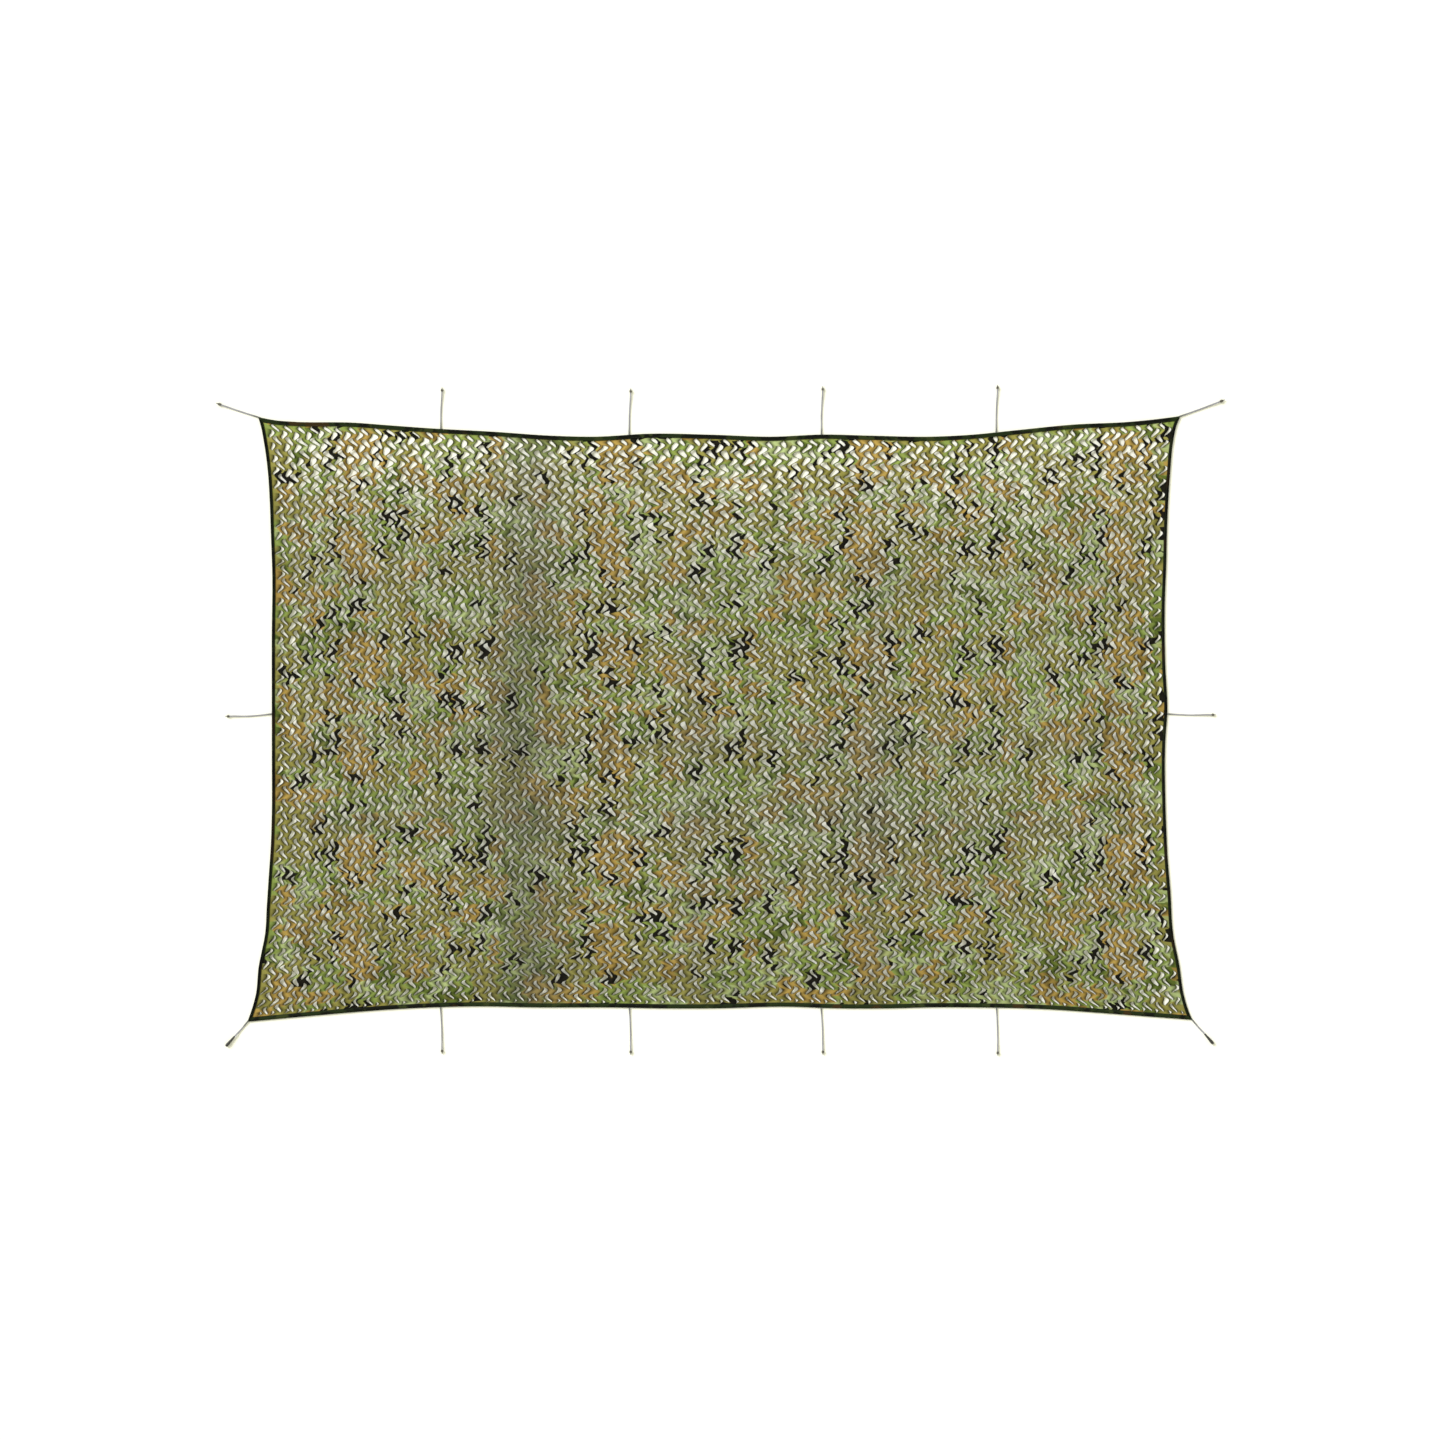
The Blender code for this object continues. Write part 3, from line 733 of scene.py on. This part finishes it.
# ----------------
# Leaf-cut cloth. The net is one printed polyester cloth with staggered slits all over, pulled wide so
# that every slit opens into a gap and the strips between them stand up as light and dark pleats.
STRIPS = 134
PERIODS = 46  # slits from the far side to the near one
PERIOD_ROWS = 14  # rows of points for a slit and the bridge after it
HALF_PERIOD = PERIOD_ROWS // 2
SLIT_ROWS = 10
ACROSS = 4  # faces across a strip
FLAT_STRIP = 0.0170  # the uncut cloth's share of one strip, and below of one period
FLAT_PERIOD = 0.0407
LEAN = 0.0080  # how far the strips zigzag to each side
ZIGZAG_LAG = 1.3  # rows
PLEAT = 0.0034  # from valley to crest
SLIT_POINT = 0.70  # 0.5 opens a slit to an ellipse, 1 to a pointed lens
SLIT_WIDER_FAR = 0.15  # towards its far end
SLIT_MIDDLE = 0.35
FADE_ROWS = 4  # rows from the far and near edges to the full gaps and zigzag
PLEAT_FADE_ROWS = 5
SPACING = 0.075  # how much closer the strips are at left and right
SPACING_STEPS = 400
CLOTH_EDGE = 0.56  # where the cloth ends, as a share of the binding's width

# How much single gaps and leaves differ: as shares of one, then in metres.
SEED = 11
GAP_DIFFERENCE = 0.12
SWAY_DIFFERENCE = 0.25
PLEAT_DIFFERENCE = 0.20
ASTRAY = 0.0022
BOWED = 0.0009
PRINT_ASTRAY = 0.008

# The cloth's level: at the rim, just inside it, and how much higher it stands within, each reached over
# its own distance from the edge. The folds rise from that.
RIM_HEIGHT = 0.00305
LEAF_LIFT = 0.0050
HOLLOW = 0.0068
RIM_START, RIM_REACH = 0.010, 0.022
FOLD_START, FOLD_REACH = 0.0126, 0.16
SIDES_REACH, FAR_REACH, NEAR_REACH = 0.16, 0.45, 0.08
FOLD_SHARE = 0.65
LOWEST, RIM_HIGHER = 0.0004, 0.0026

# Where the cloth's main soft folds stand up off the floor: each a ridge from one end to the other.
FOLDS = (
    # x start, y start, x end, y end, height, half width
    (-0.60, 0.96, -0.68, -0.96, 0.0130, 0.120),
    (-0.11, 0.30, -0.06, -0.88, 0.0090, 0.100),
    (0.52, 0.90, 0.56, -0.30, 0.0110, 0.090),
    (0.86, 0.42, 0.78, -0.80, 0.0080, 0.110),
    (-1.38, 0.44, -0.78, 0.47, 0.0075, 0.100),
    (0.00, 0.48, 1.30, 0.42, 0.0085, 0.090),
    (-0.02, -0.08, 0.94, -0.15, 0.0080, 0.080),
    (-1.30, -0.36, -0.74, -0.33, 0.0065, 0.090),
    (-0.06, -0.42, 0.70, -0.86, 0.0090, 0.090),
    (-0.90, 0.70, -0.25, 0.85, 0.0075, 0.080),
)

# Folds and dull bands wander from side to side by a share of their half width, and fade at their ends.
BAND_WANDER, BAND_WAVE, BAND_END = 0.25, 0.21, 0.25

# The slow unevenness between the folds: waves across the whole cloth.
WAVES = (
    # wavelength along x, wavelength along y, phase, height
    (1.30, 2.10, 0.4, 0.0020),
    (-0.83, 1.05, 1.9, 0.0015),
    (0.57, -0.94, 3.1, 0.0012),
)

# How wide the gaps are pulled open, between which limits, and where more or less than that.
GAP_WIDTH = 0.0145
GAP_LIMITS = (0.004, 0.026)
PULLS = (
    # x, y, half width along x, half width along y, wider by
    (0.00, 0.94, 3.00, 0.36, 0.0046),
    (0.00, -1.00, 3.00, 0.32, -0.0036),
    (-1.46, -0.92, 0.18, 0.20, 0.0020),
    (1.46, -0.92, 0.18, 0.20, 0.0020),
    (-1.20, 0.86, 0.16, 0.16, 0.0030),
    (-0.61, -0.15, 0.10, 0.90, -0.0040),
)

# Where the cloth lies greyer and dull: soft bands from one end to the other.
DULL_BANDS = (
    # x start, y start, x end, y end, half width, strength
    (-0.64, 0.96, -0.64, -0.96, 0.120, 0.75),
    (-0.11, 0.40, -0.06, -0.96, 0.060, 0.35),
    (0.51, 0.50, 0.51, -0.96, 0.050, 0.40),
    (-1.30, 0.45, 1.30, 0.45, 0.060, 0.15),
    (-1.30, -0.07, 1.30, -0.07, 0.050, 0.35),
    (-1.30, -0.33, 1.30, -0.33, 0.060, 0.45),
    (0.00, -0.53, 1.00, -0.53, 0.060, 0.30),
    (0.40, -0.05, 0.40, -0.50, 0.350, 0.35),
)

# The print's repeat: blots of black and of rust, charted in whole millimetres. Each has its x
# and y from the repeat's far left corner, half its length and width, and its slant in degrees.
REPEAT = (0.834, 0.654)
BLACK_BLOTS = (
    (206, -50, 50, 13, 78), (360, -45, 26, 12, 60), (372, -100, 14, 10, 50), (150, -85, 26, 12, 40),
    (105, -160, 30, 11, 55), (272, -160, 24, 11, -35), (440, -10, 30, 16, 10), (600, -60, 22, 16, 70),
    (690, -50, 40, 18, 80), (560, -145, 26, 11, 50), (800, -85, 30, 14, 60), (272, -250, 32, 16, 10),
    (175, -295, 36, 11, 60), (668, -240, 20, 12, 60), (206, -395, 58, 15, 80), (360, -370, 30, 13, 62),
    (375, -430, 16, 10, 40), (145, -410, 32, 15, 45), (52, -478, 26, 16, -20), (280, -490, 34, 14, -50),
    (450, -338, 30, 18, 5), (610, -400, 30, 18, 60), (700, -380, 50, 20, 75), (572, -465, 36, 12, 60),
    (585, -560, 40, 18, -30), (690, -590, 30, 14, -60), (425, -530, 32, 10, 30),
    (205, -600, 26, 14, 20), (405, -610, 34, 14, 10), (800, -560, 22, 12, 60),
)
RUST_BLOTS = (
    (265, -50, 60, 42, -70), (300, -135, 50, 28, 20), (85, -10, 50, 25, -30), (140, -210, 70, 18, 5),
    (480, -130, 30, 25, 60), (540, -10, 45, 22, 10), (735, -60, 14, 35, 0), (30, -190, 30, 40, 0),
    (150, -290, 26, 28, 60), (320, -278, 40, 14, 0), (470, -285, 20, 18, 0), (548, -325, 40, 22, 20),
    (285, -385, 52, 40, 10), (262, -460, 22, 42, 0), (350, -430, 18, 60, -20), (330, -480, 30, 18, 40),
    (470, -460, 30, 40, 70), (530, -510, 44, 18, -50), (600, -515, 24, 30, 0), (690, -500, 40, 16, -10),
    (740, -380, 14, 40, 0), (200, -530, 30, 16, 0), (260, -575, 40, 20, -20), (165, -600, 35, 18, 20),
    (350, -575, 22, 14, 0), (640, -600, 40, 20, 10), (745, -520, 30, 24, 70), (55, -540, 20, 30, 10),
    (430, -590, 36, 14, 10), (800, -280, 40, 20, 10),
)
REPEAT_CORNER = (-1.469, 0.616)
LEAF_PRINT, POINT_PRINT = 0.8, 0.2  # a leaf mostly takes the print at its middle
BLACK_SPECKLE = 0.75

# Painted shade darkens the gaps' lips: from what gap on, at what width fully, and over what share of the
# strip.
LEAST_GAP = 0.0008
WIDE_GAP = 0.006
LIP_SHARE = 0.68
LIP_SHADE_DEPTH = 0.97

# The cloth along the far side is paler.
PALER_LINE = 0.98
PALER_REACH = 0.24
PALER_BY = 0.30

# Slow waves that keep the lattice from being quite regular: (shift, waves along, waves down, phase).
WAVES_SIDEWAYS = ((0.0011, 3, 2, 0.4), (0.0008, -5, 7, 2.0), (0.0006, 11, -9, 4.1), (0.0004, 23, 17, 1.0))
WAVES_DOWN = ((0.0020, 2, -3, 1.2), (0.0013, 6, 5, 0.3), (0.0009, -13, 8, 2.2), (0.0006, 19, 21, 5.0))
CLOSER_AT_SIDES = 0.0070

PALE = (0.308, 0.370, 0.166)
MID = (0.182, 0.240, 0.058)
DEEP = (0.084, 0.116, 0.020)
OLIVE = (0.216, 0.200, 0.052)
RUST = (0.318, 0.216, 0.056)
RUST_DEEP = (0.205, 0.142, 0.034)
BLACK = (0.008, 0.007, 0.004)
DULL = (0.115, 0.118, 0.080)
RAGGED = 0.9  # how ragged the rims of the black and the rust are
PATCH_RAGGED = 0.12
PATCH_SOFTNESS = 0.012


def band_height(x, y, rows):
    """The sum of soft ridges along segments, each given as its two ends, height and half width."""
    lift = np.zeros_like(x)
    for x0, y0, x1, y1, height, half_width in rows:
        run = np.array((x1 - x0, y1 - y0))
        length = np.linalg.norm(run)
        along, across = run / length, np.array((-run[1], run[0])) / length
        s = (x - x0) * along[0] + (y - y0) * along[1]
        d = (x - x0) * across[0] + (y - y0) * across[1]
        wander = BAND_WANDER * half_width * np.sin(s / BAND_WAVE)
        ends = np.clip(np.minimum(s, length - s) / BAND_END + 0.6, 0, 1)
        lift = lift + height * ends**2 * (3 - 2 * ends) * np.exp(-(((d - wander) / half_width) ** 2))
    return lift


def fold_height(x, y):
    """How far the folds and waves lift the cloth at x, y."""
    lift = band_height(x, y, FOLDS)
    for across_x, across_y, phase, height in WAVES:
        turn = math.tau * (x / across_x + y / across_y) + phase
        lift = lift + height * (1 + np.sin(turn)) / 2
    return lift


def nearness(x, y, blots):
    """How deep inside the nearest blot of the repeat x, y is: 1 at its middle, 0 at its rim."""
    best = np.full(x.shape, -1.0, dtype=np.float32)
    local_x = (x - REPEAT_CORNER[0]) % REPEAT[0]
    local_y = -((REPEAT_CORNER[1] - y) % REPEAT[1])
    for *millimetres, slant in blots:
        blot_x, blot_y, long_half, short_half = (length / 1000 for length in millimetres)
        dx = local_x - blot_x
        dx = dx - REPEAT[0] * np.round(dx / REPEAT[0])
        dy = local_y - blot_y
        dy = dy - REPEAT[1] * np.round(dy / REPEAT[1])
        c, s = math.cos(math.radians(slant)), math.sin(math.radians(slant))
        far_off = np.sqrt(((dx * c + dy * s) / long_half) ** 2 + ((dy * c - dx * s) / short_half) ** 2)
        best = np.maximum(best, 1.0 - far_off)
    return best


def smooth_step(t):
    t = np.clip(t, 0, 1)
    return t * t * (3 - 2 * t)


rows = PERIODS * PERIOD_ROWS
draw = np.random.default_rng(SEED)
pitch = 1.0 / STRIPS
span_x = side_frame("far")[3]
span_y = side_frame("left")[3]

# The sheet's four edges as dense lines.
DENSE = 4000
dense = np.linspace(0, 1, DENSE)
edges = {side: edge_line(side, CLOTH_EDGE, dense) for side in SIDES}


def spread(u, v):
    """The place on the floor of the sheet's point at shares u along x and v from the far side."""
    place = []
    for axis in (0, 1):
        far = np.interp(u, dense, edges["far"][:, axis])
        near = np.interp(u, dense, edges["near"][:, axis])
        left = np.interp(v, dense, edges["left"][:, axis])
        right = np.interp(v, dense, edges["right"][:, axis])
        tips = [edges[side][end, axis] for side in ("far", "near") for end in (0, -1)]
        corner = (1 - v) * ((1 - u) * tips[0] + u * tips[1]) + v * ((1 - u) * tips[2] + u * tips[3])
        place.append((1 - v) * far + v * near + (1 - u) * left + u * right - corner)
    return place


row = np.arange(rows + 1)
column = np.arange(STRIPS + 1)
staggered = row[None, :] + HALF_PERIOD * (column[:, None] % 2)
phase = staggered % PERIOD_ROWS
slit = staggered // PERIOD_ROWS
inside_slit = (phase > 0) & (phase < SLIT_ROWS)
inside_slit &= (column[:, None] > 0) & (column[:, None] < STRIPS)
inside_slit &= (row[None, :] > 1) & (row[None, :] < rows - 1)
t = 1.0 - 2.0 * phase / SLIT_ROWS  # +1 at the slit's far end, -1 at its near end
body = np.clip(1 - t * t, 0, 1) ** SLIT_POINT * (1 + SLIT_WIDER_FAR * t)

# The opening of each slit, and how it differs from its neighbours.
slits = slit.max() + 1
u_slit, v_slit = np.meshgrid(column / STRIPS, (np.arange(slits) + SLIT_MIDDLE) / PERIODS, indexing="ij")
x_slit, y_slit = spread(u_slit, np.clip(v_slit, 0, 1))
opening = np.full(x_slit.shape, GAP_WIDTH)
for x0, y0, reach_x, reach_y, wider in PULLS:
    opening += wider * np.exp(-(((x_slit - x0) / reach_x) ** 2) - ((y_slit - y0) / reach_y) ** 2)
opening *= 1 + GAP_DIFFERENCE * draw.standard_normal(opening.shape)
opening = np.clip(opening, *GAP_LIMITS)
skew = 1 + SWAY_DIFFERENCE * draw.standard_normal(opening.shape)
astray = ASTRAY * draw.standard_normal((2, *opening.shape))
gap = np.take_along_axis(opening, slit, axis=1) * body * inside_slit / 2
edge_rows = np.minimum(row, rows - row)[None, :]


def along_rows(values):
    """Numbers given for each slit, read smoothly at every row of its column."""
    centres = SLIT_ROWS / 2 + PERIOD_ROWS * np.arange(slits)
    read = [np.interp(row, centres - HALF_PERIOD * (c % 2), line) for c, line in enumerate(values)]
    return np.array(read)


# The gaps are narrower along the cloth's edges.
gap = gap * np.clip((edge_rows - 1) / FADE_ROWS, 0, 1) * (0.7 + 0.3 * np.clip(edge_rows / 16, 0, 1))
gap = gap * np.interp(np.minimum(column, STRIPS - column), (1, 3), (0.65, 1.0))[:, None]

# Everything sways to and fro together down the cloth, which makes the strips' zigzag.
zigzag = LEAN * np.sin(math.tau * (row - SLIT_ROWS / 2 - ZIGZAG_LAG) / PERIOD_ROWS)
zigzag = zigzag[None, :] * along_rows(skew) + along_rows(astray[0])

strip = column[:-1, None, None]
share = np.linspace(0, 1, ACROSS + 1)
left_x = gap[:-1] + zigzag[:-1]
right_x = -gap[1:] + zigzag[1:]
inner_line = ((column > 0) & (column < STRIPS))[:, None]
sway_fade = inner_line * np.clip(edge_rows / FADE_ROWS, 0, 1)
left_x = left_x * sway_fade[:-1]
right_x = right_x * sway_fade[1:]
u = (strip + share) * pitch
u = u + (left_x[..., None] * (1 - share) + right_x[..., None] * share) / span_x
sink = along_rows(astray[1]) * sway_fade / span_y
v = row[None, :, None] / rows + sink[:-1, :, None] * (1 - share) + sink[1:, :, None] * share



def slow_waves(waves):
    """The sum of waves over the sheet, read at all of its points."""
    return sum(a * np.sin(math.tau * (u * p + v * q) + r) for a, p, q, r in waves)


# The lattice lies wider in the middle of the net than towards its left and right sides.
evenly = np.linspace(0, 1, SPACING_STEPS)
spacing = 1 - SPACING * np.cos(math.tau * evenly)
spread_u = np.concatenate([[0.0], np.cumsum((spacing[1:] + spacing[:-1]) / 2)])
spread_u /= spread_u[-1]
u = np.interp(u, evenly, spread_u)
wobble_u = slow_waves(WAVES_SIDEWAYS)
wobble_v = slow_waves(WAVES_DOWN)
wobble_v = wobble_v - CLOSER_AT_SIDES * np.sin(math.tau * v) * np.abs(2 * u - 1)
# The waves die away at the edges.
rim = np.clip(np.minimum(u, 1 - u) * 12, 0, 1) * np.clip(np.minimum(v, 1 - v) * 9, 0, 1)
x, y = spread(u + wobble_u * rim, v + wobble_v * rim)



def across_strips(values):
    """Numbers given for each line between two strips, read across the strips."""
    return values[:-1, :, None] * (1 - share) + values[1:, :, None] * share


# Height: every second line between two strips is a crest and the others are valleys, so each strip
# slopes. The cloth's level and its folds carry them.
crest = np.where(column % 2 == 0, 1.0, -1.0)[:, None]
lively = 1 + PLEAT_DIFFERENCE * draw.standard_normal(opening.shape)
swell = 0.70 + 0.30 * np.cos(math.tau * (staggered - SLIT_ROWS / 2) / PERIOD_ROWS)
pull = np.clip(along_rows(opening) / GAP_WIDTH, 0.55, 1.35)
height = crest * PLEAT / 2 * swell * pull * np.clip(along_rows(lively), 0.2, 1.7)
height = height * inner_line * np.clip(edge_rows / PLEAT_FADE_ROWS, 0, 1)
pleat = across_strips(height)
per_leaf = (STRIPS, rows // HALF_PERIOD + 2)
bow = BOWED * draw.standard_normal(per_leaf)
bow_rows = np.array([np.interp(row, np.arange(per_leaf[1]) * HALF_PERIOD, line) for line in bow])
pleat = pleat + bow_rows[..., None] * 4 * share * (1 - share)
inside = np.minimum(np.minimum(u, 1 - u) * span_x, np.minimum(v, 1 - v) * span_y)
fade = smooth_step((inside - FOLD_START) / FOLD_REACH)
near_rim = smooth_step((inside - RIM_START) / RIM_REACH)
within = smooth_step(np.minimum(u, 1 - u) * span_x / SIDES_REACH) * smooth_step(v * span_y / FAR_REACH)
within = within * smooth_step((1 - v) * span_y / NEAR_REACH)
level = RIM_HEIGHT * (1 - near_rim) + near_rim * (LEAF_LIFT + HOLLOW * within)
z = level + FOLD_SHARE * fade * fold_height(x, y) + pleat * near_rim
z = np.maximum(z, LOWEST + RIM_HIGHER * (1 - near_rim))

# The sheet's own points: both lips of an open slit, one point elsewhere.
numbers = np.arange(STRIPS * (rows + 1) * (ACROSS + 1)).reshape(STRIPS, rows + 1, ACROSS + 1)
joined = ~inside_slit[1:-1]
numbers[1:, :, 0] = np.where(joined, numbers[:-1, :, -1], numbers[1:, :, 0])

# A leaf is the piece of a strip between two bridges, half a period long.
leaf_of_row = (row + HALF_PERIOD // 2) // HALF_PERIOD
leaves = leaf_of_row.max() + 1


def on_leaves(values):
    """Numbers given for each leaf, at every point of it."""
    return np.repeat(values[:, leaf_of_row, None], ACROSS + 1, axis=2)


def leaf_middles(places):
    middles = [places[:, leaf_of_row == leaf].mean(axis=(1, 2)) for leaf in range(leaves)]
    return np.stack(middles, axis=1)


# The print lies a little astray on each leaf. Its black keeps off the bridges and comes and goes from
# leaf to leaf.
astray_x = on_leaves(PRINT_ASTRAY * draw.standard_normal(per_leaf))
astray_y = on_leaves(PRINT_ASTRAY * draw.standard_normal(per_leaf))
print_x = LEAF_PRINT * on_leaves(leaf_middles(x)) + POINT_PRINT * x + astray_x
print_y = LEAF_PRINT * on_leaves(leaf_middles(y)) + POINT_PRINT * y + astray_y
bridge = 0.5 - 0.5 * np.cos(math.tau * (phase - SLIT_ROWS / 2) / PERIOD_ROWS)
speckle = draw.uniform(-1, 1, per_leaf)
black = nearness(print_x, print_y, BLACK_BLOTS) - across_strips(bridge**2)
black = black + BLACK_SPECKLE * on_leaves(speckle)
dull_bands = band_height(x, y, [(*f[:4], f[5], f[4]) for f in DULL_BANDS])
parted = np.clip(2.0 * gap / WIDE_GAP, 0, 1) * (inside_slit & (gap > LEAST_GAP))
# Painted shade along the lips of each open gap, fading across the strip.
lip_shade = np.maximum(
    parted[:-1, :, None] * np.clip(1 - share / LIP_SHARE, 0, 1),
    parted[1:, :, None] * np.clip(1 - (1 - share) / LIP_SHARE, 0, 1),
)
leaf_tone = draw.uniform(-1, 1, per_leaf)
leaf_warm = draw.standard_normal(per_leaf) - 0.25

# What the finish reads at each point: how strong each thing is there.
finish_numbers = {
    "black": black,
    "rust": nearness(print_x, print_y, RUST_BLOTS),
    "dull": np.clip(dull_bands, 0, 1),
    "tone": on_leaves(leaf_tone),
    "warm": on_leaves(np.clip(leaf_warm, 0, 1)),
    "lip_shade": lip_shade,
    "paler_far": np.exp(-(((y - PALER_LINE) / PALER_REACH) ** 2)),
}
cloth_x = np.broadcast_to((strip + share) * FLAT_STRIP, v.shape)
place_on_cloth = np.stack([cloth_x, v * PERIODS * FLAT_PERIOD], axis=-1)

net_finish, net_shader, start = new_finish("net_cloth", 0.80)
place = start.node("Attribute", {"attribute_name": "place"}, out=1)
ragged = place.noise(60.0, 3.0, 0.6)
ragged = (ragged - 0.5) * RAGGED
first = place.noise(9.0, 2.0, 0.5)
second = place.moved((3.1, 7.7, 0.0)).noise(12.0, 2.0, 0.5)
third = place.moved((9.3, 2.2, 0.0)).noise(7.0, 2.0, 0.5)
color = (first + ragged * PATCH_RAGGED).above(0.52, PATCH_SOFTNESS).blend(MID, PALE)
color = (second + ragged * PATCH_RAGGED).above(0.58, PATCH_SOFTNESS).blend(color, DEEP)
color = (third + ragged * PATCH_RAGGED).above(0.52, PATCH_SOFTNESS).blend(color, OLIVE)
rust_color = (second + ragged * 0.2).above(0.55, 0.03).blend(RUST, RUST_DEEP)
color = (start.attribute("warm") * 0.5).blend(color, OLIVE)
color = (start.attribute("rust") + ragged).above(-0.34, 0.05).blend(color, rust_color)
color = (start.attribute("dull") * 0.7).blend(color, DULL)
color = (start.attribute("black") + ragged).above(-0.44, 0.04).blend(color, BLACK)
weave = place.noise(1100.0, 2.0, 0.6)
shade = start.attribute("tone") * 0.12 + 1.0
# The cloth is darkened with painted shade along the gaps' lips.
shade = shade * (1.0 - start.attribute("lip_shade") * LIP_SHADE_DEPTH)
# The cloth is paler towards the far side.
shade = shade * (start.attribute("paler_far") * PALER_BY + 1.0)
feed(net_shader, "Base Color", (shade * (weave * 0.4 + 0.8)).times(color))
roughen(net_shader, weave, 0.4, 0.0002)
net_shader.inputs["Specular IOR Level"].default_value = 0.10

# Four panels, each from one line to another and from one row to another.
half_strips = STRIPS // 2
half_rows = rows // 2
for name, strips, lines in (
    ("net_far_left", (0, half_strips), (0, half_rows)),
    ("net_far_right", (half_strips, STRIPS), (0, half_rows)),
    ("net_near_left", (0, half_strips), (half_rows, rows)),
    ("net_near_right", (half_strips, STRIPS), (half_rows, rows)),
):
    block = numbers[strips[0] : strips[1], lines[0] : lines[1] + 1]
    corners = [block[:, :-1, :-1], block[:, 1:, :-1], block[:, 1:, 1:], block[:, :-1, 1:]]
    quads = np.stack(corners, axis=-1).reshape(-1, 4)
    used, faces = np.unique(quads, return_inverse=True)
    faces = faces.reshape(quads.shape)
    vertices = np.column_stack([axis.reshape(-1)[used] for axis in (x, y, z)])
    panel = draw_mesh(name, vertices, faces, net_finish)
    for layer, values in finish_numbers.items():
        point_numbers(panel, layer, values.reshape(-1)[used])
    on_cloth = place_on_cloth.reshape(-1, 2)[used]
    layer = panel.data.attributes.new("place", "FLOAT_VECTOR", "POINT")
    on_cloth = np.column_stack([on_cloth, np.zeros(len(on_cloth))]).astype(np.float32)
    layer.data.foreach_set("vector", on_cloth.ravel())
    low, high = vertices.min(axis=0), vertices.max(axis=0)
    flat_map = (vertices[:, :2] - low[:2]) / (high[:2] - low[:2])
    unwrapped = panel.data.uv_layers.new(name="OFBake")
    unwrapped.uv.foreach_set("vector", flat_map[faces.ravel()].astype(np.float32).ravel())
    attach(panel, "root")
    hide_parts("net")
    flat = ((strips[1] - strips[0]) * FLAT_STRIP, (lines[1] - lines[0]) * FLAT_PERIOD / PERIOD_ROWS)
